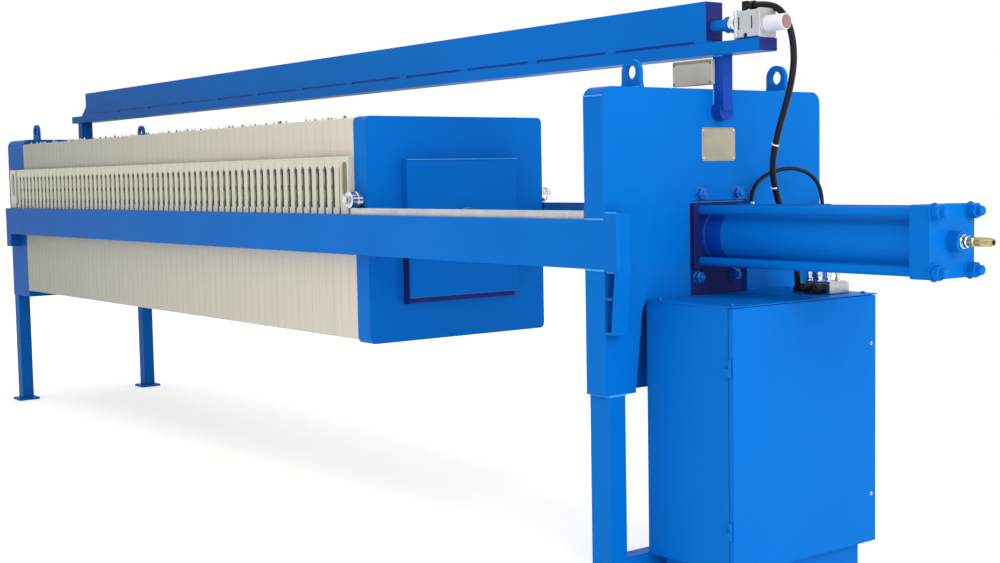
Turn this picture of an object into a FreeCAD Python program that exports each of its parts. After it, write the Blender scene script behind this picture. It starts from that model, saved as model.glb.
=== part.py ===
"""Plate filter press with a hydraulic closing cylinder, in millimetres.

Frame while modelling: X runs from the fixed head to the closing cylinder, with
X = 0 on the outer face of the cylinder stand, Y = 0 on the centre plane and
Z = 0 on the ground.  The finished model is shifted along X so that its origin
is the centre of its footprint.
"""
import FreeCAD, Part
import math
import os
from FreeCAD import Vector

# ---------------------------------------------------------------- filter plates
PLATE_SIZE = 1000.0          # square plates, width and height
PLATE_COUNT = 62
PLATE_PITCH = 67.6
PLATE_GAP = 0.4              # between neighbours, so that each plate is its own solid
PLATES_PER_NODE = 16
CHAMBER_MARGIN = 60.0        # sealing rim round each plate's chamber
CHAMBER_DEPTH = 15.0
PACK_CENTRE_Z = 1286.0
FACING_THICK = 80.0          # light head plate between the fixed head and the pack

EAR_REACH = 34.0             # a plate's handle stands this far out of its side
EAR_THICK = 46.0
EAR_HEIGHT = 232.0
EAR_LIP = 6.0                # lip that hooks over the rail
EAR_SLOT_LENGTH = 150.0
EAR_SLOT_WIDTH = 46.0
EAR_SLOT_DEPTH = 12.0
HEAD_EAR_BACK = 190.0        # the head plate's handle reaches this far back along the head
HEAD_EAR_LENGTH = 108.0
HEAD_EARS = 2                # plain handles between it and the first plate

# ---------------------------------------------------------------- side beams and rails
BEAM_GAP = 8.0               # between the plates' sides and the beams
BEAM_WIDTH = 64.0
BEAM_HEIGHT = 176.0
BEAM_BOTTOM_Z = 1177.0
RAIL_WIDTH = 22.0
RAIL_HEIGHT = 29.0
RAIL_INSET = 3.0             # the rail stands in this far from the beam's inner face
RAIL_STOP = 55.0             # end of the rail before the cylinder stand

# ---------------------------------------------------------------- cylinder stand
STAND_DEPTH = 104.0          # its sides are flush with the beams' outer faces
STAND_OVER = 33.0            # its top above the plates
STAND_UNDER = 57.0           # its lower edge below the plates
STAND_CORNER_R = 44.0
STAND_PLATE = 20.0           # front portal plate and plain back plate
STAND_SKIN = 12.0            # bent band that closes the edge between them
PORTAL_RISE = 322.0          # portal's top above the stand's lower edge
PORTAL_TOP_INSET = 182.0     # width of each side at the portal's top
PORTAL_BOTTOM_INSET = 143.0
PORTAL_FILLET = 40.0

LEG_DEPTH = 104.0
LEG_WIDTH = 75.0
LEG_INSET = 54.0             # leg's centre in from the stand's side
LEG_CAP = 12.0
FOOT_LENGTH = 160.0
FOOT_WIDTH = 140.0
FOOT_THICK = 15.0
ANCHOR_HOLE_R = 9.0
ANCHOR_EDGE = 16.0           # anchor hole centre to the foot plate's end

TIE_BAR_HEIGHT = 60.0        # cross member between the stand's legs
TIE_BAR_DEPTH = 60.0
TIE_BAR_TOP_Z = 139.0

EYE_THICK = 18.0
EYE_OUTER_R = 47.0
EYE_HOLE_R = 26.0
EYE_HEIGHT = 55.0            # hole centre above the plate that carries it
EYE_SHOULDER = 52.0          # half width at the foot
EYE_FLARE = 22.0             # height over which the foot widens
EYE_INSET = 118.0            # eye's centre in from the plates' sides

END_BLOCK_LENGTH = 66.0      # block that keys each side beam on the stand's face
END_BLOCK_OVER = 25.0        # its top above the beam
END_BLOCK_UNDER = 6.0
END_BLOCK_ROUND = 12.0
GUSSET_THICK = 14.0          # sloping plate that carries the block on the stand's face
GUSSET_HEIGHT = 222.0
GUSSET_SLOPE = 22.0          # its foot stands this much nearer the stand than its top
GUSSET_WEB = 10.0            # flat webs at mid height and at the foot

# ---------------------------------------------------------------- fixed head
HEAD_DEPTH = 310.0
HEAD_SIDE_INSET = 1.0        # the head's side in from the plates' sides
HEAD_OVER = 34.0
HEAD_UNDER = 42.0
HEAD_CORNER_R = 44.0
HEAD_FACE_PLATE = 40.0       # the thrust plate behind the light head plate
HEAD_BACK_PLATE = 20.0
HEAD_LEG_DEPTH = 78.0
HEAD_LEG_WIDTH = 78.0
HEAD_LEG_INSET = 44.0
HEAD_FOOT_LENGTH = 134.0
HEAD_PORTAL_RISE = 161.0
HEAD_PORTAL_INSET = 99.0
HEAD_PORTAL_FILLET = 60.0
HEAD_RIB = 16.0
HEAD_RIB_Y = 170.0
FEED_BORE_R = 51.0
FEED_FLANGE_R = 105.0
FEED_FLANGE_THICK = 20.0
FEED_NECK_LENGTH = 60.0
FEED_NECK_WALL = 6.0
FEED_PITCH_R = 85.0
FEED_BOLT_R = 9.0
FEED_BOLTS = 4
BEAM_FOOT_LENGTH = 82.0      # bracket under each beam at the fixed head
BEAM_FOOT_HEIGHT = 86.0
BEAM_END_INSET = 115.0       # the beams stop this far short of the head's outer face

# ---------------------------------------------------------------- follower
PRESS_OPENING = 1552.0       # follower to cylinder stand with the pack clamped
FOLLOWER_THICK = 102.0
FOLLOWER_OVER = 4.0          # its top above the plates
FOLLOWER_UNDER = 14.0
FOLLOWER_CORNER_R = 26.0
CLAMP_GAP = 0.5              # follower to the last plate
BOSS_MARGIN = 187.0          # boss in from the follower's edges
BOSS_THICK = 46.0
BOSS_CHAMFER = 6.0
ROLLER_R = 37.0
ROLLER_BORE_R = 12.1
AXLE_R = 12.0
ROLLER_WIDTH = 62.0
ROLLER_PAD = 6.0             # pad between the follower's side and the roller
ROLLER_PAD_LENGTH = 84.0
ROLLER_PAD_HEIGHT = 74.0
ROLLER_LIFT = 0.3            # roller above the rail
ROLLER_SIDE_GAP = 1.0
AXLE_NUT_R = 19.0
AXLE_NUT_LENGTH = 16.0

# ---------------------------------------------------------------- closing cylinder
CYLINDER_AXIS_Z = 1280.0
ROD_R = 50.0
ROD_CLEARANCE = 0.3
ROD_FLANGE_R = 92.0
ROD_FLANGE_THICK = 30.0
STAND_BORE_R = 58.0
RECESS_HALF = 151.0          # opening in the stand's front plate round the cylinder's flange
RECESS_OVER = 129.0          # its top above the cylinder's axis
RECESS_ROUND = 4.0
SEAT_GAP = 2.0
SEAT_THICK = 30.0            # seat plate set back in the opening
SEAT_SINK = 14.0
CYL_FLANGE_HALF_Y = 138.0
CYL_FLANGE_HALF_Z = 119.0
CYL_FLANGE_THICK = 20.0
MOUNT_STUD_Y = 97.0          # studs above and below the flange
MOUNT_STUD_Z = 154.0
MOUNT_NUT_R = 22.0
MOUNT_NUT_LENGTH = 30.0
BARREL_R = 100.0
BARREL_WALL = 10.0
BARREL_LENGTH = 935.0
END_CAP_HALF = 119.0
END_CAP_THICK = 75.0
END_CAP_ROUND = 12.0
TIE_ROD_R = 17.0
TIE_ROD_OFFSET = 95.0
TIE_NUT_R = 27.0
TIE_NUT_LENGTH = 32.0
TIE_ROD_TAIL = 18.0          # thread past the nut
PISTON_THICK = 50.0
PISTON_START = 20.0          # piston face to the flange with the pack clamped
PISTON_CLEARANCE = 0.3
PORT_BOSS_R = 34.0
PORT_BOSS_LENGTH = 40.0
PORT_BODY_R = 21.0
PORT_BODY_LENGTH = 52.0
PORT_TIP_R = 15.0
PORT_TIP_LENGTH = 58.0
PORT_BORE_R = 8.0

# ---------------------------------------------------------------- power pack cabinet
CAB_X0 = 5.0                 # gap between the stand's face and the cabinet
CAB_DEPTH = 419.0
CAB_HALF_WIDTH = 378.0
CAB_BOTTOM_Z = 139.0
CAB_TOP_Z = 1056.0
CAB_SHEET = 4.0
CAB_FLANGE = 28.0            # inward flange round the door opening
PLINTH_INSET = 45.0
PLINTH_WALL = 8.0
CAB_RIM = 5.0                # the lid stands out this far at the sides and the door
DOOR_THICK = 19.0
DOOR_GAP = 3.0
HINGE_PIN_R = 3.0
HINGE_BARREL_R = 5.5
HINGE_BARREL_LENGTH = 60.0
HINGE_OUT = 6.5              # hinge axis outside the cabinet's side
HINGE_CLEARANCE = 0.1
KNUCKLE_GAP = 1.0
HINGE_Z = (292.0, 851.0)
LATCH_Z = (318.0, 877.0)
LATCH_R = 13.0
LATCH_OUT = 8.0
LATCH_EDGE = 34.0

MANIFOLD_X = (222.0, 352.0)
MANIFOLD_Y = (210.0, 320.0)
MANIFOLD_HEIGHT = 46.0

# ---------------------------------------------------------------- overhead shifter beam
TRACK_HALF_WIDTH = 47.0
TRACK_HEIGHT = 46.0
TRACK_LIFT = 123.0           # its underside above the stands
TRACK_WALL = 5.0
TRACK_HEAD_INSET = 45.0      # its end in from the head's outer face
TRACK_OVERHANG = 247.0       # past the cylinder stand
HOUSING_HALF_WIDTH = 44.0
HOUSING_HEIGHT = 142.0
HOUSING_WALL = 4.0
HOUSING_HEAD_LAP = 7.0       # housing's end over the head
HOUSING_STAND_INSET = 17.0   # its other end short of the stand's face
SPACER_THICK = 11.0          # slit between the track and the housing
SPACER_LENGTH = 60.0
SPACER_COUNT = 13
NEAR_POST_WIDTH = 50.0
POST_SOCKET_R = 36.0
POST_SOCKET_LENGTH = 44.0
POST_SOCKET_DROP = 81.0      # socket's centre below the stand's top
FAR_POST_LENGTH = 70.0
FAR_POST_WIDTH = 76.0
FAR_POST_INSET = 105.0
WEDGE_LENGTH = 120.0
WEDGE_WIDTH = 60.0
WEDGE_HEIGHT = 90.0
JUNCTION_LENGTH = 190.0
JUNCTION_DEPTH = 70.0
JUNCTION_HEIGHT = 94.0
JUNCTION_DROP = 12.0         # its top below the track
SHAFT_LIFT = 62.0            # shaft's axis above the track
SHAFT_R = 22.0
SHAFT_LENGTH = 70.0
BALL_R = 30.0
BEARING_LENGTH = 30.0
GEARBOX_END_GAP = 33.0       # gearbox to the track's end
GEARBOX_LENGTH = 92.0
GEARBOX_HALF = 45.0
GEARBOX_HEIGHT = 105.0
GEARBOX_ROUND = 8.0
MOTOR_R = 29.0
MOTOR_LENGTH = 128.0
MOTOR_LIFT = 48.0
MOTOR_Y = -10.0

# ---------------------------------------------------------------- cords
CONDUIT_R = 12.0
CONDUIT_GLAND_R = 17.0
CONDUIT_GLAND_LENGTH = 24.0
HOSE_R = 7.5
HOSE_FERRULE_R = 11.0
HOSE_FERRULE_LENGTH = 30.0
CONDUIT_ROUTE = [
    (165, 22, 2112), (214, 22, 2112), (272, 42, 2090), (304, 68, 2000), (288, 92, 1850),
    (166, 108, 1580), (146, 140, 1445), (174, 240, 1180), (174, 240, 1080),
]
HOSE_ROUTE = [
    (13, 164, 1398), (13, 164, 1450), (50, 220, 1510), (106, 310, 1528), (152, 384, 1480), (192, 366, 1370),
    (256, 264, 1250), (256, 264, 1152),
]

# ---------------------------------------------------------------- derived places
STAND_BACK_X = -STAND_DEPTH
FOLLOWER_X1 = STAND_BACK_X - PRESS_OPENING
FOLLOWER_X0 = FOLLOWER_X1 - FOLLOWER_THICK
PACK_X1 = FOLLOWER_X0 - CLAMP_GAP
PACK_X0 = PACK_X1 - PLATE_COUNT * PLATE_PITCH
FACING_X0 = PACK_X0 - FACING_THICK
HEAD_X1 = FACING_X0
HEAD_X0 = HEAD_X1 - HEAD_DEPTH
PLATE_HALF = PLATE_SIZE / 2
PLATE_BOTTOM_Z = PACK_CENTRE_Z - PLATE_HALF
PLATE_TOP_Z = PACK_CENTRE_Z + PLATE_HALF
BEAM_INNER_Y = PLATE_HALF + BEAM_GAP
BEAM_OUTER_Y = BEAM_INNER_Y + BEAM_WIDTH
BEAM_TOP_Z = BEAM_BOTTOM_Z + BEAM_HEIGHT
STAND_HALF_WIDTH = BEAM_OUTER_Y
STAND_TOP_Z = PLATE_TOP_Z + STAND_OVER
STAND_BOTTOM_Z = PLATE_BOTTOM_Z - STAND_UNDER
PORTAL_TOP_Z = STAND_BOTTOM_Z + PORTAL_RISE
PORTAL_TOP_HALF = STAND_HALF_WIDTH - PORTAL_TOP_INSET
PORTAL_BOTTOM_HALF = STAND_HALF_WIDTH - PORTAL_BOTTOM_INSET
LEG_CENTRE_Y = STAND_HALF_WIDTH - LEG_INSET
EYE_CENTRE_Y = PLATE_HALF - EYE_INSET
HEAD_HALF_WIDTH = PLATE_HALF - HEAD_SIDE_INSET
HEAD_TOP_Z = PLATE_TOP_Z + HEAD_OVER
HEAD_BOTTOM_Z = PLATE_BOTTOM_Z - HEAD_UNDER
HEAD_LEG_CENTRE_Y = HEAD_HALF_WIDTH - HEAD_LEG_INSET
HEAD_PORTAL_TOP_Z = HEAD_BOTTOM_Z + HEAD_PORTAL_RISE
HEAD_PORTAL_HALF = HEAD_HALF_WIDTH - HEAD_PORTAL_INSET
BEAM_X0 = HEAD_X0 + BEAM_END_INSET
RAIL_TOP_Z = BEAM_TOP_Z + RAIL_HEIGHT
RAIL_INNER_Y = BEAM_INNER_Y - RAIL_INSET
RAIL_OUTER_Y = RAIL_INNER_Y + RAIL_WIDTH
RAIL_X0 = HEAD_X1 - HEAD_EAR_BACK
RAIL_X1 = STAND_BACK_X - RAIL_STOP
EAR_OUTER_Y = PLATE_HALF + EAR_REACH
EAR_TOP_Z = RAIL_TOP_Z + EAR_HEIGHT
BOSS_X1 = FOLLOWER_X1 + BOSS_THICK
ROLLER_X = (FOLLOWER_X0 + FOLLOWER_X1) / 2
ROLLER_Z = RAIL_TOP_Z + ROLLER_R + ROLLER_LIFT
ROLLER_Y0 = PLATE_HALF + ROLLER_PAD + ROLLER_SIDE_GAP
SEAT_X1 = -SEAT_SINK
SEAT_X0 = SEAT_X1 - SEAT_THICK
BARREL_X0 = SEAT_X1 + CYL_FLANGE_THICK
BARREL_X1 = BARREL_X0 + BARREL_LENGTH
END_CAP_X1 = BARREL_X1 + END_CAP_THICK
PISTON_X0 = BARREL_X0 + PISTON_START
CAB_X1 = CAB_X0 + CAB_DEPTH
CAB_BODY_X1 = CAB_X1 - DOOR_THICK - DOOR_GAP
HINGE_X = CAB_X1 - DOOR_THICK / 2
HINGE_Y = -CAB_HALF_WIDTH - HINGE_OUT
TRACK_X = (HEAD_X0 + TRACK_HEAD_INSET, TRACK_OVERHANG)
TRACK_BOTTOM_Z = STAND_TOP_Z + TRACK_LIFT
TRACK_TOP_Z = TRACK_BOTTOM_Z + TRACK_HEIGHT
HOUSING_BOTTOM_Z = TRACK_TOP_Z + SPACER_THICK
HOUSING_TOP_Z = HOUSING_BOTTOM_Z + HOUSING_HEIGHT
HOUSING_X = (HEAD_X1 - HOUSING_HEAD_LAP, -HOUSING_STAND_INSET)
SHAFT_Z = TRACK_TOP_Z + SHAFT_LIFT
GEARBOX_X = (TRACK_X[1] - GEARBOX_END_GAP - GEARBOX_LENGTH, TRACK_X[1] - GEARBOX_END_GAP)
GEARBOX_TOP_Z = TRACK_TOP_Z + GEARBOX_HEIGHT
MOTOR_Z = TRACK_TOP_Z + MOTOR_LIFT
FAR_POST_X1 = HEAD_X1 - FAR_POST_INSET
SIDES = (-1, 1)


# ---------------------------------------------------------------- drawing helpers
def block(x0, x1, y0, y1, z0, z1):
    """A box between two corners, whichever way round they are given."""
    low = Vector(min(x0, x1), min(y0, y1), min(z0, z1))
    return Part.makeBox(abs(x1 - x0), abs(y1 - y0), abs(z1 - z0), low)


def rod(start, direction, radius, length):
    return Part.makeCylinder(radius, length, Vector(*start), Vector(*direction))


def ring(start, direction, outer_r, inner_r, length):
    return rod(start, direction, outer_r, length).cut(rod(start, direction, inner_r, length))


def hex_prism(start, direction, radius, length):
    """A hexagonal nut or head, radius across its corners."""
    along = Vector(*direction)
    across = Vector(0, 0, 1) if abs(along.z) < 0.5 else Vector(1, 0, 0)
    other = along.cross(across)
    corners = []
    for step in range(7):
        angle = math.radians(60 * step)
        spoke = across * (radius * math.cos(angle)) + other * (radius * math.sin(angle))
        corners.append(Vector(*start) + spoke)
    return Part.Face(Part.makePolygon(corners)).extrude(along * length)


def rounded_outline(points, radii, place):
    """Closed wire through 2-D points, each corner rounded by its radius.

    place(u, v) gives the 3-D point for a point of the outline."""
    count = len(points)
    edges = []
    ends = []
    for index in range(count):
        before = Vector(*points[index - 1], 0)
        here = Vector(*points[index], 0)
        after = Vector(*points[(index + 1) % count], 0)
        radius = radii[index]
        if radius <= 0:
            ends.append((here, None, here))
            continue
        back = (before - here).normalize()
        ahead = (after - here).normalize()
        half = back.getAngle(ahead) / 2
        reach = radius / math.tan(half)
        centre = here + (back + ahead).normalize() * (radius / math.sin(half))
        middle = centre + (here - centre).normalize() * radius
        ends.append((here + back * reach, middle, here + ahead * reach))
    for index in range(count):
        start, middle, end = ends[index]
        following = ends[(index + 1) % count][0]
        if middle is not None:
            arc = Part.Arc(place(start.x, start.y), place(middle.x, middle.y), place(end.x, end.y))
            edges.append(arc.toShape())
        if (following - end).Length > 1e-6:
            edges.append(Part.makeLine(place(end.x, end.y), place(following.x, following.y)))
    return Part.Wire(edges)


def slab_x(points, radii, x0, thick):
    """A plate with an outline in Y and Z, from x0 towards +X."""
    wire = rounded_outline(points, radii, lambda u, v: Vector(x0, u, v))
    return Part.Face(wire).extrude(Vector(thick, 0, 0))


def slab_y(points, radii, y0, thick):
    """A plate with an outline in X and Z, from y0 towards +Y."""
    wire = rounded_outline(points, radii, lambda u, v: Vector(u, y0, v))
    return Part.Face(wire).extrude(Vector(0, thick, 0))


def mirror_y(shape):
    return shape.mirror(Vector(0, 0, 0), Vector(0, 1, 0))


def both_sides(shape):
    """The given solid and its mirror image across the centre plane."""
    return [shape, mirror_y(shape)]


def cord_tube(route, radius, label):
    """A tube of straight runs joined by tangent arcs as large as the runs allow."""
    points = [Vector(*point) for point in route]
    edges = []
    start = points[0]
    length = 0.0
    bends = []
    for index in range(1, len(points) - 1):
        here = points[index]
        back = points[index - 1] - here
        ahead = points[index + 1] - here
        turn = math.pi - back.getAngle(ahead)
        bend_r = 0.45 * min(back.Length, ahead.Length) / math.tan(turn / 2)
        reach = 0.45 * min(back.Length, ahead.Length)
        back.normalize()
        ahead.normalize()
        centre = here + (back + ahead).normalize() * (bend_r / math.cos(turn / 2))
        middle = centre + (here - centre).normalize() * bend_r
        edges.append(Part.makeLine(start, here + back * reach))
        edges.append(Part.Arc(here + back * reach, middle, here + ahead * reach).toShape())
        length += (here + back * reach - start).Length + bend_r * turn
        start = here + ahead * reach
        bends.append(round(bend_r))
    edges.append(Part.makeLine(start, points[-1]))
    length += (points[-1] - start).Length
    path = Part.Wire(edges)
    section = Part.Wire([Part.makeCircle(radius, points[0], points[1] - points[0])])
    tube = path.makePipeShell([section], True, False)
    share = tube.Volume / (math.pi * radius ** 2 * length)
    print(label, "length", round(length), "bend radii", bends, "volume share", round(share, 4))
    return tube


# ---------------------------------------------------------------- filter pack
def filter_plate(x0, thick):
    """A recessed plate: a square slab with a chamber sunk into each face."""
    half = PLATE_HALF
    slab = block(x0, x0 + thick, -half, half, PLATE_BOTTOM_Z, PLATE_TOP_Z)
    inner = half - CHAMBER_MARGIN
    low = PLATE_BOTTOM_Z + CHAMBER_MARGIN
    high = PLATE_TOP_Z - CHAMBER_MARGIN
    for face_x in (x0, x0 + thick - CHAMBER_DEPTH):
        slab = slab.cut(block(face_x, face_x + CHAMBER_DEPTH, -inner, inner, low, high))
    return slab


def plate_ear(x0, thick):
    """The handle bolted to a plate's near side, with a lip that hooks over the rail."""
    outline = [
        (-PLATE_HALF, EAR_TOP_Z), (-EAR_OUTER_Y, EAR_TOP_Z), (-EAR_OUTER_Y, BEAM_TOP_Z + 2 * CLAMP_GAP),
        (-EAR_OUTER_Y + EAR_LIP, BEAM_TOP_Z + 2 * CLAMP_GAP), (-EAR_OUTER_Y + EAR_LIP, RAIL_TOP_Z),
        (-PLATE_HALF, RAIL_TOP_Z),
    ]
    return slab_x(outline, [0, 0, 0, 0, 0, 0], x0, thick)


def slotted_ear(x0, thick):
    """The wider end handle, with an upright grip slot in its outer face."""
    ear = plate_ear(x0, thick)
    middle_x = x0 + thick / 2
    middle_z = RAIL_TOP_Z + EAR_HEIGHT * 0.57
    half_width = EAR_SLOT_WIDTH / 2
    half_length = EAR_SLOT_LENGTH / 2
    outline = [
        (middle_x - half_width, middle_z - half_length), (middle_x + half_width, middle_z - half_length),
        (middle_x + half_width, middle_z + half_length), (middle_x - half_width, middle_z + half_length),
    ]
    return ear.cut(slab_y(outline, [half_width - 1] * 4, -EAR_OUTER_Y, EAR_SLOT_DEPTH))


def filter_pack(nodes):
    thick = PLATE_PITCH - PLATE_GAP
    ears = []
    for index in range(PLATE_COUNT):
        x0 = PACK_X0 + index * PLATE_PITCH
        group = index // PLATES_PER_NODE + 1
        nodes.setdefault("filter_plates_%d" % group, []).append(filter_plate(x0, thick))
        if index < PLATE_COUNT - 1:
            ears.append(plate_ear(x0 + (PLATE_PITCH - EAR_THICK) / 2, EAR_THICK))
    tail_x0 = PACK_X1 - PLATE_PITCH
    ears.append(slotted_ear(tail_x0 - 4, PLATE_PITCH + 3))
    for index in range(HEAD_EARS):
        ears.append(plate_ear(PACK_X0 - (index + 0.5) * PLATE_PITCH - EAR_THICK / 2, EAR_THICK))
    ears.append(slotted_ear(HEAD_X1 - HEAD_EAR_BACK, HEAD_EAR_LENGTH))
    nodes["plate_handles_near"] = ears
    nodes["plate_handles_far"] = [mirror_y(ear) for ear in ears]

    facing = block(FACING_X0, PACK_X0 - PLATE_GAP, -PLATE_HALF, PLATE_HALF, PLATE_BOTTOM_Z, PLATE_TOP_Z)
    facing = facing.cut(rod((FACING_X0, 0, CYLINDER_AXIS_Z), (1, 0, 0), FEED_BORE_R, FACING_THICK))
    nodes["head_plate"] = [facing]


# ---------------------------------------------------------------- frames and beams
def side_beams(nodes):
    beam = block(BEAM_X0, 0, -BEAM_OUTER_Y, -BEAM_INNER_Y, BEAM_BOTTOM_Z, BEAM_TOP_Z)
    nodes["side_beams"] = both_sides(beam)
    rail = block(RAIL_X0, RAIL_X1, -RAIL_OUTER_Y, -RAIL_INNER_Y, BEAM_TOP_Z, RAIL_TOP_Z)
    nodes["rails"] = both_sides(rail)

    outline = [
        (0, -BEAM_OUTER_Y), (END_BLOCK_LENGTH, -BEAM_OUTER_Y),
        (END_BLOCK_LENGTH, -BEAM_INNER_Y), (0, -BEAM_INNER_Y),
    ]
    low = BEAM_BOTTOM_Z - END_BLOCK_UNDER
    wire = rounded_outline(outline, [0, END_BLOCK_ROUND, 0, 0], lambda u, v: Vector(u, v, low))
    height = END_BLOCK_UNDER + BEAM_HEIGHT + END_BLOCK_OVER
    nodes["beam_end_blocks"] = both_sides(Part.Face(wire).extrude(Vector(0, 0, height)))

    foot_z = low - GUSSET_HEIGHT
    front = END_BLOCK_LENGTH
    sloping = slab_y([(front - GUSSET_THICK, low), (front, low), (front - GUSSET_SLOPE, foot_z),
                      (front - GUSSET_SLOPE - GUSSET_THICK, foot_z)],
                     [0, 0, 0, 0], -BEAM_OUTER_Y, BEAM_WIDTH)
    inner_side = slab_y([(0, low), (front, low), (front - GUSSET_SLOPE, foot_z), (0, foot_z)],
                        [0, 0, 0, 0], -BEAM_INNER_Y - GUSSET_THICK, GUSSET_THICK)
    web_reach = front - GUSSET_SLOPE - GUSSET_THICK / 2
    webs = []
    for web_z in (low - GUSSET_HEIGHT * 0.45, foot_z):
        webs.append(block(0, web_reach, -BEAM_OUTER_Y, -BEAM_INNER_Y, web_z, web_z + GUSSET_WEB))
    gussets = both_sides(sloping.fuse([inner_side, *webs]).removeSplitter())
    nodes["stand_gussets"] = gussets


def lifting_eye(x, base_z):
    """A lug along X with a round top, a hole and a slightly wider foot, standing on base_z."""
    centre_z = base_z + EYE_HEIGHT
    outline = [
        (x - EYE_SHOULDER, base_z), (x + EYE_SHOULDER, base_z), (x + EYE_OUTER_R, base_z + EYE_FLARE),
        (x + EYE_OUTER_R, centre_z + EYE_OUTER_R), (x - EYE_OUTER_R, centre_z + EYE_OUTER_R),
        (x - EYE_OUTER_R, base_z + EYE_FLARE),
    ]
    round_r = EYE_OUTER_R - 0.5
    y0 = -EYE_CENTRE_Y - EYE_THICK / 2
    eye = slab_y(outline, [0, 0, 0, round_r, round_r, 0], y0, EYE_THICK)
    return eye.cut(rod((x, y0, centre_z), (0, 1, 0), EYE_HOLE_R, EYE_THICK))


def foot_plate(x, y, length):
    plate = block(x - length / 2, x + length / 2, y - FOOT_WIDTH / 2, y + FOOT_WIDTH / 2, 0, FOOT_THICK)
    for end in (-1, 1):
        hole_x = x + end * (length / 2 - ANCHOR_EDGE)
        plate = plate.cut(rod((hole_x, y, 0), (0, 0, 1), ANCHOR_HOLE_R, FOOT_THICK))
    return plate


def portal_outline(half, top, bottom, corner_r):
    """Outline of a stand's portal plate: square shoulders above, two wide legs below."""
    points = [
        (-half, bottom), (-half, top), (half, top), (half, bottom),
        (PORTAL_BOTTOM_HALF, bottom), (PORTAL_TOP_HALF, PORTAL_TOP_Z),
        (-PORTAL_TOP_HALF, PORTAL_TOP_Z), (-PORTAL_BOTTOM_HALF, bottom),
    ]
    return points, [0, corner_r, corner_r, 0, 0, PORTAL_FILLET, PORTAL_FILLET, 0]


def cylinder_stand(nodes):
    points, radii = portal_outline(STAND_HALF_WIDTH, STAND_TOP_Z, STAND_BOTTOM_Z, STAND_CORNER_R)
    notches = both_sides(block(STAND_BACK_X, 0, -BEAM_OUTER_Y, -BEAM_INNER_Y, BEAM_BOTTOM_Z, BEAM_TOP_Z))
    bore = rod((STAND_BACK_X, 0, CYLINDER_AXIS_Z), (1, 0, 0), STAND_BORE_R, STAND_DEPTH)
    front = slab_x(points, radii, -STAND_PLATE, STAND_PLATE)
    back = slab_x([(-STAND_HALF_WIDTH, STAND_BOTTOM_Z), (-STAND_HALF_WIDTH, STAND_TOP_Z),
                   (STAND_HALF_WIDTH, STAND_TOP_Z), (STAND_HALF_WIDTH, STAND_BOTTOM_Z)],
                  [0, STAND_CORNER_R, STAND_CORNER_R, 0], STAND_BACK_X, STAND_PLATE)
    for cutter in notches:
        front = front.cut(cutter)
        back = back.cut(cutter)
    opening_top = CYLINDER_AXIS_Z + RECESS_OVER
    opening = slab_x([(-RECESS_HALF, PORTAL_TOP_Z), (-RECESS_HALF, opening_top),
                      (RECESS_HALF, opening_top), (RECESS_HALF, PORTAL_TOP_Z)],
                     [0, RECESS_ROUND, RECESS_ROUND, 0], -STAND_PLATE, STAND_PLATE)
    nodes["stand_front_plate"] = [front.cut(opening)]
    nodes["stand_back_plate"] = [back.cut(bore)]

    inner_x0 = STAND_BACK_X + STAND_PLATE
    depth = STAND_DEPTH - 2 * STAND_PLATE
    outer = slab_x([(-STAND_HALF_WIDTH, STAND_BOTTOM_Z), (-STAND_HALF_WIDTH, STAND_TOP_Z),
                    (STAND_HALF_WIDTH, STAND_TOP_Z), (STAND_HALF_WIDTH, STAND_BOTTOM_Z)],
                   [0, STAND_CORNER_R, STAND_CORNER_R, 0], inner_x0, depth)
    inset = STAND_HALF_WIDTH - STAND_SKIN
    inner = slab_x([(-inset, STAND_BOTTOM_Z), (-inset, STAND_TOP_Z - STAND_SKIN),
                    (inset, STAND_TOP_Z - STAND_SKIN), (inset, STAND_BOTTOM_Z)],
                   [0, STAND_CORNER_R - STAND_SKIN, STAND_CORNER_R - STAND_SKIN, 0], inner_x0, depth)
    band = outer.cut(inner)
    for notch in notches:
        band = band.cut(notch)
    cap = block(inner_x0, inner_x0 + depth, -STAND_HALF_WIDTH, -PORTAL_BOTTOM_HALF,
                STAND_BOTTOM_Z, STAND_BOTTOM_Z + LEG_CAP)
    nodes["stand_edge_band"] = band.fuse(both_sides(cap)).removeSplitter().Solids
    nodes["stand_bore_tube"] = [ring((inner_x0, 0, CYLINDER_AXIS_Z), (1, 0, 0), BARREL_R + STAND_SKIN,
                                     STAND_BORE_R, SEAT_X0 - inner_x0)]

    leg_x0 = (STAND_BACK_X - LEG_DEPTH) / 2
    leg_x1 = leg_x0 + LEG_DEPTH
    leg = block(leg_x0, leg_x1, -LEG_CENTRE_Y - LEG_WIDTH / 2, -LEG_CENTRE_Y + LEG_WIDTH / 2,
                FOOT_THICK, STAND_BOTTOM_Z)
    nodes["legs"] = both_sides(leg)
    nodes["feet"] = both_sides(foot_plate(STAND_BACK_X / 2, -LEG_CENTRE_Y, FOOT_LENGTH))
    bar_half = LEG_CENTRE_Y - LEG_WIDTH / 2
    nodes["stand_tie_bar"] = [block(leg_x1 - TIE_BAR_DEPTH, leg_x1, -bar_half, bar_half,
                                    TIE_BAR_TOP_Z - TIE_BAR_HEIGHT, TIE_BAR_TOP_Z)]
    nodes["lifting_eyes"] = both_sides(lifting_eye(STAND_BACK_X / 2, STAND_TOP_Z))


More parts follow.
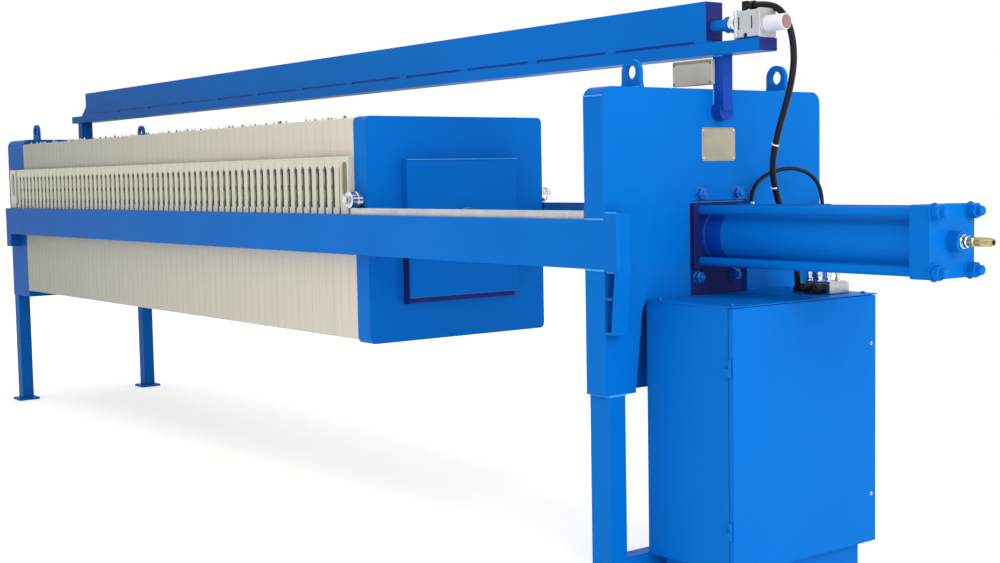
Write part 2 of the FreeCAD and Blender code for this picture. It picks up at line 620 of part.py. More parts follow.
def fixed_head(nodes):
    """A deep welded box: thrust plate, outer plate, bent edge band and ribs."""
    points = [
        (-HEAD_HALF_WIDTH, HEAD_BOTTOM_Z), (-HEAD_HALF_WIDTH, HEAD_TOP_Z),
        (HEAD_HALF_WIDTH, HEAD_TOP_Z), (HEAD_HALF_WIDTH, HEAD_BOTTOM_Z),
        (HEAD_PORTAL_HALF, HEAD_BOTTOM_Z), (HEAD_PORTAL_HALF, HEAD_PORTAL_TOP_Z),
        (-HEAD_PORTAL_HALF, HEAD_PORTAL_TOP_Z), (-HEAD_PORTAL_HALF, HEAD_BOTTOM_Z),
    ]
    radii = [0, HEAD_CORNER_R, HEAD_CORNER_R, 0, 0, HEAD_PORTAL_FILLET, HEAD_PORTAL_FILLET, 0]
    bore = rod((HEAD_X0, 0, CYLINDER_AXIS_Z), (1, 0, 0), FEED_BORE_R, HEAD_DEPTH)
    thrust = slab_x([(-HEAD_HALF_WIDTH, HEAD_BOTTOM_Z), (-HEAD_HALF_WIDTH, HEAD_TOP_Z),
                     (HEAD_HALF_WIDTH, HEAD_TOP_Z), (HEAD_HALF_WIDTH, HEAD_BOTTOM_Z)],
                    [0, HEAD_CORNER_R, HEAD_CORNER_R, 0], HEAD_X1 - HEAD_FACE_PLATE, HEAD_FACE_PLATE)
    nodes["head_thrust_plate"] = [thrust.cut(bore)]
    back = slab_x(points, radii, HEAD_X0, HEAD_BACK_PLATE)
    neck_hole = rod((HEAD_X0, 0, CYLINDER_AXIS_Z), (1, 0, 0), FEED_BORE_R + FEED_NECK_WALL, HEAD_BACK_PLATE)
    nodes["head_back_plate"] = [back.cut(neck_hole)]

    inner_x0 = HEAD_X0 + HEAD_BACK_PLATE
    inner_x1 = HEAD_X1 - HEAD_FACE_PLATE
    depth = inner_x1 - inner_x0
    outer = slab_x([(-HEAD_HALF_WIDTH, HEAD_BOTTOM_Z), (-HEAD_HALF_WIDTH, HEAD_TOP_Z),
                    (HEAD_HALF_WIDTH, HEAD_TOP_Z), (HEAD_HALF_WIDTH, HEAD_BOTTOM_Z)],
                   [0, HEAD_CORNER_R, HEAD_CORNER_R, 0], inner_x0, depth)
    inset = HEAD_HALF_WIDTH - STAND_SKIN
    inner = slab_x([(-inset, HEAD_BOTTOM_Z), (-inset, HEAD_TOP_Z - STAND_SKIN),
                    (inset, HEAD_TOP_Z - STAND_SKIN), (inset, HEAD_BOTTOM_Z)],
                   [0, HEAD_CORNER_R - STAND_SKIN, HEAD_CORNER_R - STAND_SKIN, 0], inner_x0, depth)
    leg_cap = block(inner_x0, inner_x1, -HEAD_HALF_WIDTH, -HEAD_PORTAL_HALF,
                    HEAD_BOTTOM_Z, HEAD_BOTTOM_Z + LEG_CAP)
    nodes["head_edge_band"] = outer.cut(inner).fuse(both_sides(leg_cap)).removeSplitter().Solids
    rib_top = HEAD_TOP_Z - STAND_SKIN
    rib = block(inner_x0, inner_x1, HEAD_RIB_Y, HEAD_RIB_Y + HEAD_RIB, HEAD_PORTAL_TOP_Z, rib_top)
    nodes["head_ribs"] = both_sides(rib)

    leg_x = HEAD_X0 + HEAD_LEG_DEPTH / 2
    leg = block(HEAD_X0, HEAD_X0 + HEAD_LEG_DEPTH, -HEAD_LEG_CENTRE_Y - HEAD_LEG_WIDTH / 2,
                -HEAD_LEG_CENTRE_Y + HEAD_LEG_WIDTH / 2, FOOT_THICK, HEAD_BOTTOM_Z)
    nodes["legs"] += both_sides(leg)
    nodes["feet"] += both_sides(foot_plate(leg_x, -HEAD_LEG_CENTRE_Y, HEAD_FOOT_LENGTH))
    nodes["lifting_eyes"] += both_sides(lifting_eye(HEAD_X1 - EYE_SHOULDER, HEAD_TOP_Z))
    beam_foot = block(BEAM_X0, BEAM_X0 + BEAM_FOOT_LENGTH, -BEAM_OUTER_Y, -HEAD_HALF_WIDTH,
                      BEAM_BOTTOM_Z - BEAM_FOOT_HEIGHT, BEAM_BOTTOM_Z)
    shim = block(BEAM_X0, HEAD_X1, -BEAM_INNER_Y, -HEAD_HALF_WIDTH, BEAM_BOTTOM_Z, BEAM_TOP_Z)
    nodes["head_beam_brackets"] = both_sides(beam_foot.fuse(shim))

    flange_x0 = HEAD_X0 - FEED_NECK_LENGTH
    neck = ring((flange_x0, 0, CYLINDER_AXIS_Z), (1, 0, 0), FEED_BORE_R + FEED_NECK_WALL, FEED_BORE_R,
                FEED_NECK_LENGTH + HEAD_DEPTH - HEAD_FACE_PLATE)
    flange = ring((flange_x0, 0, CYLINDER_AXIS_Z), (1, 0, 0), FEED_FLANGE_R, FEED_BORE_R, FEED_FLANGE_THICK)
    inlet = neck.fuse(flange)
    for index in range(FEED_BOLTS):
        angle = 2 * math.pi * (index + 0.5) / FEED_BOLTS
        hole = (flange_x0, FEED_PITCH_R * math.cos(angle), CYLINDER_AXIS_Z + FEED_PITCH_R * math.sin(angle))
        inlet = inlet.cut(rod(hole, (1, 0, 0), FEED_BOLT_R, FEED_FLANGE_THICK))
    nodes["feed_inlet"] = [inlet]


# ---------------------------------------------------------------- follower
def follower(nodes):
    half = PLATE_HALF
    low = PLATE_BOTTOM_Z - FOLLOWER_UNDER
    high = PLATE_TOP_Z + FOLLOWER_OVER
    plate = slab_x([(-half, low), (-half, high), (half, high), (half, low)], [FOLLOWER_CORNER_R] * 4,
                   FOLLOWER_X0, FOLLOWER_THICK)
    boss_half = half - BOSS_MARGIN
    centre_z = (low + high) / 2
    boss = block(FOLLOWER_X1, BOSS_X1, -boss_half, boss_half, centre_z - boss_half, centre_z + boss_half)
    rim = [edge for edge in boss.Edges if edge.BoundBox.XMin > BOSS_X1 - 1e-6]
    nodes["follower_boss"] = [boss.makeChamfer(BOSS_CHAMFER, rim)]

    pad = block(ROLLER_X - ROLLER_PAD_LENGTH / 2, ROLLER_X + ROLLER_PAD_LENGTH / 2, -half - ROLLER_PAD, -half,
                ROLLER_Z - ROLLER_PAD_HEIGHT * 0.4, ROLLER_Z + ROLLER_PAD_HEIGHT * 0.6)
    nodes["follower_plate"] = [plate.fuse(both_sides(pad))]
    axle_length = ROLLER_WIDTH + 2 * ROLLER_SIDE_GAP
    axle = rod((ROLLER_X, -half - ROLLER_PAD, ROLLER_Z), (0, -1, 0), AXLE_R, axle_length)
    nut_y = -half - ROLLER_PAD - axle_length
    nut = hex_prism((ROLLER_X, nut_y, ROLLER_Z), (0, -1, 0), AXLE_NUT_R, AXLE_NUT_LENGTH)
    nodes["roller_axles"] = both_sides(axle.fuse(nut))
    roller = ring((ROLLER_X, -ROLLER_Y0, ROLLER_Z), (0, -1, 0), ROLLER_R, ROLLER_BORE_R, ROLLER_WIDTH)
    nodes["roller_near"] = [roller]
    nodes["roller_far"] = [mirror_y(roller)]

    flange = rod((BOSS_X1, 0, CYLINDER_AXIS_Z), (1, 0, 0), ROD_FLANGE_R, ROD_FLANGE_THICK)
    rod_x0 = BOSS_X1 + ROD_FLANGE_THICK
    shaft = rod((rod_x0, 0, CYLINDER_AXIS_Z), (1, 0, 0), ROD_R, PISTON_X0 - rod_x0)
    piston_r = BARREL_R - BARREL_WALL - PISTON_CLEARANCE
    piston = rod((PISTON_X0, 0, CYLINDER_AXIS_Z), (1, 0, 0), piston_r, PISTON_THICK)
    nodes["piston_rod"] = [flange.fuse([shaft, piston])]


# ---------------------------------------------------------------- closing cylinder
def closing_cylinder(nodes):
    axis = CYLINDER_AXIS_Z
    seat_half = RECESS_HALF - SEAT_GAP
    seat = block(SEAT_X0, SEAT_X1, -seat_half, seat_half, PORTAL_TOP_Z, axis + RECESS_OVER - SEAT_GAP)
    nodes["cylinder_seat"] = [seat.cut(rod((SEAT_X0, 0, axis), (1, 0, 0), STAND_BORE_R, SEAT_THICK))]
    flange = block(SEAT_X1, BARREL_X0, -CYL_FLANGE_HALF_Y, CYL_FLANGE_HALF_Y,
                   axis - CYL_FLANGE_HALF_Z, axis + CYL_FLANGE_HALF_Z)
    flange = flange.cut(rod((SEAT_X1, 0, axis), (1, 0, 0), ROD_R + ROD_CLEARANCE, CYL_FLANGE_THICK))
    nodes["cylinder_flange"] = [flange]
    nodes["cylinder_barrel"] = [ring((BARREL_X0, 0, axis), (1, 0, 0), BARREL_R, BARREL_R - BARREL_WALL,
                                     BARREL_LENGTH)]
    half = END_CAP_HALF
    cap = slab_x([(-half, axis - half), (-half, axis + half), (half, axis + half), (half, axis - half)],
                 [END_CAP_ROUND] * 4, BARREL_X1, END_CAP_THICK)
    tie_rods = []
    for side_y in SIDES:
        for side_z in SIDES:
            y = side_y * TIE_ROD_OFFSET
            z = axis + side_z * TIE_ROD_OFFSET
            tie_rods.append(rod((BARREL_X0, y, z), (1, 0, 0), TIE_ROD_R, BARREL_LENGTH))
            nut = hex_prism((END_CAP_X1, y, z), (1, 0, 0), TIE_NUT_R, TIE_NUT_LENGTH)
            thread = rod((END_CAP_X1, y, z), (1, 0, 0), TIE_ROD_R, TIE_NUT_LENGTH + TIE_ROD_TAIL)
            tie_rods.append(nut.fuse(thread))
    port_bore = rod((BARREL_X1, 0, axis), (1, 0, 0), PORT_BORE_R, END_CAP_THICK + PORT_BOSS_LENGTH)
    boss = rod((END_CAP_X1, 0, axis), (1, 0, 0), PORT_BOSS_R, PORT_BOSS_LENGTH)
    nodes["cylinder_end_cap"] = [cap.fuse(boss).cut(port_bore)]
    nodes["cylinder_tie_rods"] = tie_rods

    studs = []
    for face_x, z in ((0, axis + MOUNT_STUD_Z), (SEAT_X1, axis - MOUNT_STUD_Z)):
        studs += both_sides(hex_prism((face_x, -MOUNT_STUD_Y, z), (1, 0, 0), MOUNT_NUT_R, MOUNT_NUT_LENGTH))
    nodes["cylinder_mount_nuts"] = studs

    body_x0 = END_CAP_X1 + PORT_BOSS_LENGTH
    body = hex_prism((body_x0, 0, axis), (1, 0, 0), PORT_BODY_R, PORT_BODY_LENGTH)
    tip_x0 = body_x0 + PORT_BODY_LENGTH
    tip = rod((tip_x0, 0, axis), (1, 0, 0), PORT_TIP_R, PORT_TIP_LENGTH)
    bore = rod((body_x0, 0, axis), (1, 0, 0), PORT_BORE_R, PORT_BODY_LENGTH + PORT_TIP_LENGTH)
    nodes["port_coupling"] = [body.fuse(tip).cut(bore)]


# ---------------------------------------------------------------- power pack cabinet
def cabinet(nodes):
    half = CAB_HALF_WIDTH
    sheet = CAB_SHEET
    side_panel = block(CAB_X0, CAB_BODY_X1, -half, -half + sheet, CAB_BOTTOM_Z, CAB_TOP_Z)
    slit_x0 = HINGE_X - HINGE_BARREL_R - DOOR_GAP
    for hinge_z in HINGE_Z:
        slit = block(slit_x0, CAB_BODY_X1, -half, -half + sheet,
                     hinge_z - HINGE_BARREL_LENGTH / 2, hinge_z + HINGE_BARREL_LENGTH / 2)
        side_panel = side_panel.cut(slit)
    far_panel = block(CAB_X0, CAB_BODY_X1, half - sheet, half, CAB_BOTTOM_Z, CAB_TOP_Z)
    inner = half - sheet
    back = block(CAB_X0, CAB_X0 + sheet, -inner, inner, CAB_BOTTOM_Z, CAB_TOP_Z)
    floor = block(CAB_X0 + sheet, CAB_BODY_X1, -inner, inner, CAB_BOTTOM_Z, CAB_BOTTOM_Z + sheet)
    lid = block(CAB_X0, CAB_X1 + CAB_RIM, -half - CAB_RIM, half + CAB_RIM, CAB_TOP_Z, CAB_TOP_Z + sheet)
    nodes["cabinet_top"] = [lid]
    frame_low = CAB_BOTTOM_Z + sheet
    frame = block(CAB_BODY_X1 - sheet, CAB_BODY_X1, -inner, inner, frame_low, CAB_TOP_Z)
    frame = frame.cut(block(CAB_BODY_X1 - sheet, CAB_BODY_X1, -inner + CAB_FLANGE, inner - CAB_FLANGE,
                            frame_low + CAB_FLANGE, CAB_TOP_Z - CAB_FLANGE))
    nodes["cabinet_body"] = [side_panel.fuse([far_panel, back, floor, frame]).removeSplitter()]
    x0 = CAB_X0 + PLINTH_INSET
    x1 = CAB_X1 - PLINTH_INSET
    y1 = half - PLINTH_INSET
    plinth = block(x0, x1, -y1, y1, 0, CAB_BOTTOM_Z)
    wall = PLINTH_WALL
    hollow = block(x0 + wall, x1 - wall, -y1 + wall, y1 - wall, 0, CAB_BOTTOM_Z)
    nodes["cabinet_plinth"] = [plinth.cut(hollow)]

    door = block(CAB_X1 - DOOR_THICK, CAB_X1, -half, half, CAB_BOTTOM_Z, CAB_TOP_Z - DOOR_GAP)
    knuckles = []
    pins = []
    leaf_half = HINGE_BARREL_R / 2
    arm_x0 = HINGE_X - 4 * HINGE_BARREL_R
    arm_y0 = HINGE_Y - HINGE_BARREL_R
    knuckle = (HINGE_BARREL_LENGTH - KNUCKLE_GAP) / 2
    for hinge_z in HINGE_Z:
        low = hinge_z - HINGE_BARREL_LENGTH / 2
        upper = low + knuckle + KNUCKLE_GAP
        leaf = block(HINGE_X - leaf_half, HINGE_X + leaf_half, HINGE_Y, -half, upper, upper + knuckle)
        moving = rod((HINGE_X, HINGE_Y, upper), (0, 0, 1), HINGE_BARREL_R, knuckle).fuse(leaf)
        pin_hole = rod((HINGE_X, HINGE_Y, upper), (0, 0, 1), HINGE_PIN_R + HINGE_CLEARANCE, knuckle)
        knuckles.append(moving.cut(pin_hole))
        fixed = rod((HINGE_X, HINGE_Y, low), (0, 0, 1), HINGE_BARREL_R, knuckle)
        arm = block(arm_x0, HINGE_X, arm_y0, arm_y0 + leaf_half, low, low + knuckle)
        foot = block(arm_x0, arm_x0 + HINGE_BARREL_R, arm_y0, -half, low, low + knuckle)
        pin = rod((HINGE_X, HINGE_Y, low), (0, 0, 1), HINGE_PIN_R, HINGE_BARREL_LENGTH)
        pins.append(fixed.fuse([arm, foot, pin]))
    nodes["cabinet_hinge_pins"] = pins
    nodes["cabinet_door"] = [door.fuse(knuckles)]
    latches = []
    for latch_z in LATCH_Z:
        latches.append(rod((CAB_X1, half - LATCH_EDGE - LATCH_R, latch_z), (1, 0, 0), LATCH_R, LATCH_OUT))
    nodes["door_latches"] = latches

    top = CAB_TOP_Z + sheet
    manifold = block(*MANIFOLD_X, *MANIFOLD_Y, top, top + MANIFOLD_HEIGHT)
    nodes["valve_manifold"] = [manifold]


# ---------------------------------------------------------------- overhead shifter beam
def tube_x(x0, x1, half, z0, z1, wall):
    hollow = block(x0, x1, -half + wall, half - wall, z0 + wall, z1 - wall)
    return block(x0, x1, -half, half, z0, z1).cut(hollow)


def overhead_beam(nodes):
    nodes["track_beam"] = [tube_x(*TRACK_X, TRACK_HALF_WIDTH, TRACK_BOTTOM_Z, TRACK_TOP_Z, TRACK_WALL)]
    housing = block(*HOUSING_X, -HOUSING_HALF_WIDTH, HOUSING_HALF_WIDTH, HOUSING_BOTTOM_Z, HOUSING_TOP_Z)
    inner = HOUSING_HALF_WIDTH - HOUSING_WALL
    cover = housing.cut(block(*HOUSING_X, -inner, inner, HOUSING_BOTTOM_Z, HOUSING_TOP_Z - HOUSING_WALL))
    bearing_x0 = HOUSING_X[1] - BEARING_LENGTH
    bearing = block(bearing_x0, HOUSING_X[1], -inner, inner, SHAFT_Z - BALL_R, HOUSING_TOP_Z - HOUSING_WALL)
    bearing = bearing.cut(rod((bearing_x0, 0, SHAFT_Z), (1, 0, 0), SHAFT_R, BEARING_LENGTH))
    nodes["shifter_housing"] = [cover.fuse(bearing)]
    spacers = []
    run = (HOUSING_X[1] - HOUSING_X[0] - SPACER_LENGTH) / (SPACER_COUNT - 1)
    for index in range(1, SPACER_COUNT):
        x0 = HOUSING_X[0] + index * run
        spacers.append(block(x0, x0 + SPACER_LENGTH, -HOUSING_HALF_WIDTH, HOUSING_HALF_WIDTH,
                             TRACK_TOP_Z, HOUSING_BOTTOM_Z))
    wedge = [(HOUSING_X[0] - WEDGE_LENGTH, TRACK_TOP_Z), (HOUSING_X[0], TRACK_TOP_Z),
             (HOUSING_X[0], TRACK_TOP_Z + WEDGE_HEIGHT)]
    spacers.append(slab_y(wedge, [0, 0, 0], -WEDGE_WIDTH / 2, WEDGE_WIDTH))
    nodes["housing_supports"] = spacers

    half = NEAR_POST_WIDTH / 2
    socket_z = STAND_TOP_Z - POST_SOCKET_DROP
    post = block(0, NEAR_POST_WIDTH, -half, half, socket_z, TRACK_BOTTOM_Z)
    nodes["near_post"] = [post.fuse(rod((0, 0, socket_z), (1, 0, 0), POST_SOCKET_R, POST_SOCKET_LENGTH))]
    nodes["far_post"] = [block(FAR_POST_X1 - FAR_POST_LENGTH, FAR_POST_X1, -FAR_POST_WIDTH / 2,
                               FAR_POST_WIDTH / 2, HEAD_TOP_Z, TRACK_BOTTOM_Z)]
    box_top = TRACK_BOTTOM_Z - JUNCTION_DROP
    box_y = -half - JUNCTION_DEPTH / 2
    nodes["junction_box"] = [block(-JUNCTION_LENGTH, 0, box_y, box_y + JUNCTION_DEPTH,
                                   box_top - JUNCTION_HEIGHT, box_top)]

    shaft_x0 = HOUSING_X[1]
    seat_x0 = shaft_x0 + SHAFT_LENGTH
    gear_x0 = GEARBOX_X[0]
    shaft = rod((shaft_x0 - SHAFT_LENGTH, 0, SHAFT_Z), (1, 0, 0), SHAFT_R, 2 * SHAFT_LENGTH)
    coupling = rod((seat_x0, 0, SHAFT_Z), (1, 0, 0), BALL_R, gear_x0 - seat_x0)
    nodes["drive_shaft"] = [shaft.fuse(coupling)]
    shell = slab_x([(-GEARBOX_HALF, TRACK_TOP_Z), (-GEARBOX_HALF, GEARBOX_TOP_Z),
                    (GEARBOX_HALF, GEARBOX_TOP_Z), (GEARBOX_HALF, TRACK_TOP_Z)],
                   [0, GEARBOX_ROUND, GEARBOX_ROUND, 0], GEARBOX_X[0], GEARBOX_X[1] - GEARBOX_X[0])
    nodes["gearbox"] = [shell]
    nodes["gear_motor"] = [rod((GEARBOX_X[1], MOTOR_Y, MOTOR_Z), (1, 0, 0), MOTOR_R, MOTOR_LENGTH)]


# ---------------------------------------------------------------- cords
def cords(nodes):
    nodes["conduit"] = [cord_tube(CONDUIT_ROUTE, CONDUIT_R, "conduit")]
    nodes["hose"] = [cord_tube(HOSE_ROUTE, HOSE_R, "hose")]
    x, y, z = CONDUIT_ROUTE[0]
    gland = rod((x - CONDUIT_GLAND_LENGTH, y, z), (1, 0, 0), CONDUIT_GLAND_R, CONDUIT_GLAND_LENGTH)
    carrier = block(x - 2 * CONDUIT_GLAND_LENGTH, x - CONDUIT_GLAND_LENGTH,
                    y - CONDUIT_GLAND_R, y + CONDUIT_GLAND_R, GEARBOX_TOP_Z, z + CONDUIT_GLAND_R)
    nodes["conduit_glands"] = [gland.fuse(carrier)]
    x, y, z = CONDUIT_ROUTE[-1]
    top = CAB_TOP_Z + CAB_SHEET
    nodes["conduit_glands"].append(rod((x, y, top), (0, 0, 1), CONDUIT_GLAND_R, z - top))
    x, y, z = HOSE_ROUTE[0]
    elbow = rod((x, y, z - HOSE_FERRULE_LENGTH), (0, 0, 1), HOSE_FERRULE_R, HOSE_FERRULE_LENGTH)
    arm = rod((0, y, z - HOSE_FERRULE_LENGTH / 2), (1, 0, 0), HOSE_FERRULE_R * 0.7, x)
    x, y, z = HOSE_ROUTE[-1]
    low = top + MANIFOLD_HEIGHT
    nodes["hose_fittings"] = [elbow.fuse(arm), rod((x, y, low), (0, 0, 1), HOSE_FERRULE_R, z - low)]


def build():
    nodes = {}
    filter_pack(nodes)
    side_beams(nodes)
    cylinder_stand(nodes)
    fixed_head(nodes)
    follower(nodes)
    closing_cylinder(nodes)
    cabinet(nodes)
    overhead_beam(nodes)
    cords(nodes)
    return nodes


def footprint_shift(nodes):
    """The move along X that brings the middle of the whole press to the origin."""
    bounds = Part.makeCompound([solid for solids in nodes.values() for solid in solids]).BoundBox
    return Vector(-(bounds.XMin + bounds.XMax) / 2, 0, 0)


def main():
    nodes = build()
    shift = footprint_shift(nodes)
    print("nodes", len(nodes), "shift along x", round(shift.x, 3))
    os.makedirs("parts", exist_ok=True)
    for name, solids in nodes.items():
        shape = solids[0] if len(solids) == 1 else Part.makeCompound(solids)
        shape.translate(shift)
        if not shape.isValid():
            print("not valid:", name)
        shape.exportStep("parts/%s.step" % name)


if __name__ == "__main__":
    main()
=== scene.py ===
# %% [markdown]
# # A plate filter press, dressed for a picture
#
# The press arrives as bare solids that already have their sizes and their moving bodies.
# This lesson gives each one its finish, and adds what such a machine carries besides: the
# chamfered plates and their handles, cloth ties, bolts, weld beads, fittings, a cable
# conduit and a hydraulic hose.  The solids are in metres; new pieces are worked out in
# millimetres and turned into metres when they become meshes.

# %% Load the solids
import math

import bpy
import numpy as np
from mathutils import Matrix, Vector


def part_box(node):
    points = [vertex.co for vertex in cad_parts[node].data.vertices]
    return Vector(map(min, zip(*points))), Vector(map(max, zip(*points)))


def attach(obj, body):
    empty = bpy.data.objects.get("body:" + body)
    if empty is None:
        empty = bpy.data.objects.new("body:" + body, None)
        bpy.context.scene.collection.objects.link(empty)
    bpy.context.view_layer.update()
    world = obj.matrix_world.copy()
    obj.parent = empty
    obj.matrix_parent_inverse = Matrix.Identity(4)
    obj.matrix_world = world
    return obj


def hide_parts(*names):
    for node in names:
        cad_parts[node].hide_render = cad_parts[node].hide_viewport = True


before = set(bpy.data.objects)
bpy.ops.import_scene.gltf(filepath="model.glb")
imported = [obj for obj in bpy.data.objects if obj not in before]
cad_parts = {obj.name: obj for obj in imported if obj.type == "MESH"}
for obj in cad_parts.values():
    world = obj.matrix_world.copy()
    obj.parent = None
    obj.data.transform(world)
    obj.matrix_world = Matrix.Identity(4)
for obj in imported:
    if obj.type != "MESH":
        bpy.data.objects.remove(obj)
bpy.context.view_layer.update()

# %% [markdown]
# ## Where things are
#
# A fitter measures this machine from the outer face of the cylinder stand, so the lesson
# does too: `at` turns millimetres from that face, from the centre plane and from the floor
# into a point of the frame.

# %% Measure from the cylinder stand's outer face
STAND_FACE_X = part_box("stand_front_plate")[1][0]


def at(x, y, z):
    """Point for distances in millimetres: the stand's face plus x along the press, y across, z up."""
    return np.array([STAND_FACE_X + x / 1000, y / 1000, z / 1000])


def many_at(rows):
    """The same for an array of rows (x, y, z): each row over 1000, moved to the stand's face."""
    return np.asarray(rows, float) / 1000 + np.array([STAND_FACE_X, 0, 0])


print("stand face at x =", round(STAND_FACE_X, 4))

# %% [markdown]
# ## The camera
#
# The press is seen from beside its cylinder end, at eye height, with the long side running
# away to the left.  The camera is placed by a position and three angles, because a tracked
# target can't give the slight roll.

# %% Place the camera
CAMERA_AT = at(3762, -3910, 1511)
CAMERA_YAW = 0.918
CAMERA_PITCH = 0.073
CAMERA_ROLL = -0.018
CAMERA_LENS = 51.7
CAMERA_SENSOR = 36.0
CAMERA_REACH = 200.0


def camera_rotation(yaw, pitch, roll):
    """Columns right, up and back: turned left by yaw and down by pitch, then rolled in its own plane."""
    ahead = Vector((-math.sin(yaw) * math.cos(pitch), math.cos(yaw) * math.cos(pitch), -math.sin(pitch)))
    right = Vector((math.cos(yaw), math.sin(yaw), 0))
    up = right.cross(ahead)
    rolled_right = right * math.cos(roll) + up * math.sin(roll)
    rolled_up = up * math.cos(roll) - right * math.sin(roll)
    return Matrix((rolled_right, rolled_up, -ahead)).transposed()


camera_data = bpy.data.cameras.new("press_view")
camera = bpy.data.objects.new("press_view", camera_data)
bpy.context.scene.collection.objects.link(camera)
camera_data.lens = CAMERA_LENS
camera_data.sensor_width = CAMERA_SENSOR
camera_data.clip_end = CAMERA_REACH
camera.location = Vector(CAMERA_AT)
camera.rotation_euler = camera_rotation(CAMERA_YAW, CAMERA_PITCH, CAMERA_ROLL).to_euler()
bpy.context.scene.camera = camera
print("camera at", [round(value, 3) for value in camera.location])

# %% [markdown]
# ## Finishes
#
# Every finish is a small network of nodes that reads Object coordinates, so that it stays
# put on the piece.  `add_node` keeps those networks short: a socket is given either a value
# or the output of another node.

# %% Helpers for node networks


def add_node(material, kind, settings=None, **sockets):
    """Adds one node.  A keyword names an input: a number sets it, another node's output is linked to it."""
    made = material.node_tree.nodes.new(kind)
    for key, value in (settings or {}).items():
        setattr(made, key, value)
    for key, value in sockets.items():
        socket = made.inputs[key.replace("_", " ")]
        if isinstance(value, bpy.types.NodeSocket):
            material.node_tree.links.new(value, socket)
        else:
            socket.default_value = value
    return made


def new_material(name):
    """An empty material with its shader, and Object coordinates to build on."""
    material = bpy.data.materials.new(name)
    material.use_nodes = True
    shader = material.node_tree.nodes["Principled BSDF"]
    place = add_node(material, "ShaderNodeTexCoord").outputs["Object"]
    return material, shader, place


def stretched(material, place, scale):
    """The coordinates multiplied by scale along each axis, to draw a pattern out along one of them."""
    mapping = add_node(material, "ShaderNodeMapping", Vector=place)
    mapping.inputs["Scale"].default_value = scale
    return mapping.outputs["Vector"]


def noise(material, place, scale, detail=3.0, rough=0.55):
    """Value of a noise texture at the coordinates times scale, with so many layers of finer noise."""
    return add_node(material, "ShaderNodeTexNoise", Vector=place, Scale=scale, Detail=detail,
                    Roughness=rough).outputs["Fac"]


def between(material, value, low, high, to_low, to_high):
    """Straight-line map of a value: low becomes to_low and high becomes to_high."""
    mapped = add_node(material, "ShaderNodeMapRange", Value=value)
    for name, number in zip(("From Min", "From Max", "To Min", "To Max"), (low, high, to_low, to_high)):
        mapped.inputs[name].default_value = number
    return mapped.outputs["Result"]


def blend_colours(material, factor, first, second):
    """First times (1 - factor) plus second times factor."""
    mixed = add_node(material, "ShaderNodeMix", {"data_type": "RGBA"})
    material.node_tree.links.new(factor, mixed.inputs[0])
    for socket, colour in ((mixed.inputs[6], first), (mixed.inputs[7], second)):
        if isinstance(colour, bpy.types.NodeSocket):
            material.node_tree.links.new(colour, socket)
        else:
            socket.default_value = (*colour, 1)
    return mixed.outputs[2]


def bumped(material, height, distance, normal=None):
    """Surface relief: height 0 to 1 stands for distance metres."""
    bump = add_node(material, "ShaderNodeBump", Height=height, Distance=distance, Strength=1.0)
    if normal is not None:
        material.node_tree.links.new(normal, bump.inputs["Normal"])
    return bump.outputs["Normal"]


# %% [markdown]
# ### Blue enamel
#
# Machine enamel is sprayed on plate that is never quite flat.  Four layers of noise give it
# life: a broad change of shade, a little dust, the slow waves of the plate, and the fine
# orange peel of the spray.  The blue is also painted darker along the press towards its far
# end: painted shade for the light that falls off there.

# %% Make the enamels
NEAR_X = 1.2
FAR_X = -3.7
# Painted shade: the enamels are darkened towards this blue along the press, for the light that falls off at
# the far end.
FAR_SHADE_BLUE = (0.002, 0.062, 0.26)
DUSTY_BLUE = (0.010, 0.20, 0.58)


def enamel(name, colour, deep, roughness=0.3, specular=0.3, far_shade=0.0):
    """Broad noise takes colour to deep; the last argument paints shade, darker along the press; relief is
    waves plus peel.
    """
    material, shader, place = new_material(name)
    broad = noise(material, place, 1.6, 4.0)
    shade = blend_colours(material, between(material, broad, 0.3, 0.75, 0.0, 1.0), colour, deep)
    split = add_node(material, "ShaderNodeSeparateXYZ", Vector=place)
    distance = between(material, split.outputs["X"], NEAR_X, FAR_X, 0.0, far_shade)
    shade = blend_colours(material, distance, shade, FAR_SHADE_BLUE)
    dust = noise(material, place, 34.0, 6.0, 0.7)
    shade = blend_colours(material, between(material, dust, 0.62, 0.8, 0.0, 0.10), shade, DUSTY_BLUE)
    waves = noise(material, place, 5.0, 2.0)
    peel = noise(material, place, 420.0, 2.0)
    relief = bumped(material, peel, 0.00006, bumped(material, waves, 0.0016))
    links = material.node_tree.links
    links.new(shade, shader.inputs["Base Color"])
    rough = between(material, dust, 0.3, 0.8, roughness - 0.05, roughness + 0.12)
    links.new(rough, shader.inputs["Roughness"])
    links.new(relief, shader.inputs["Normal"])
    shader.inputs["Specular IOR Level"].default_value = specular
    return material


blue_enamel = enamel("blue_enamel", (0.0008, 0.140, 0.515), (0.0006, 0.126, 0.47), 0.34, 0.03, 0.8)
blue_gloss = enamel("blue_gloss_enamel", (0.002, 0.125, 0.52), (0.001, 0.10, 0.44), 0.2, 0.28, 0.5)
# A lighter blue for weld beads and edges: painted highlight.
painted_highlight = enamel("bright_edge_enamel", (0.06, 0.33, 0.78), (0.03, 0.24, 0.66), 0.3, 0.1, 0.5)
# The next two are darker blues for parts that stand in shade: painted shade.
shaded_blue = enamel("shaded_blue_enamel", (0.003, 0.052, 0.36), (0.002, 0.040, 0.29), 0.36, 0.12)
painted_shade_navy = enamel("shaded_navy_enamel", (0.012, 0.018, 0.16), (0.008, 0.012, 0.11), 0.5, 0.15)
white_enamel = enamel("motor_white_enamel", (0.74, 0.74, 0.76), (0.62, 0.62, 0.64), 0.4)
box_enamel = enamel("box_grey_enamel", (0.42, 0.39, 0.34), (0.36, 0.33, 0.29), 0.45)
print("enamels made:", len(bpy.data.materials))

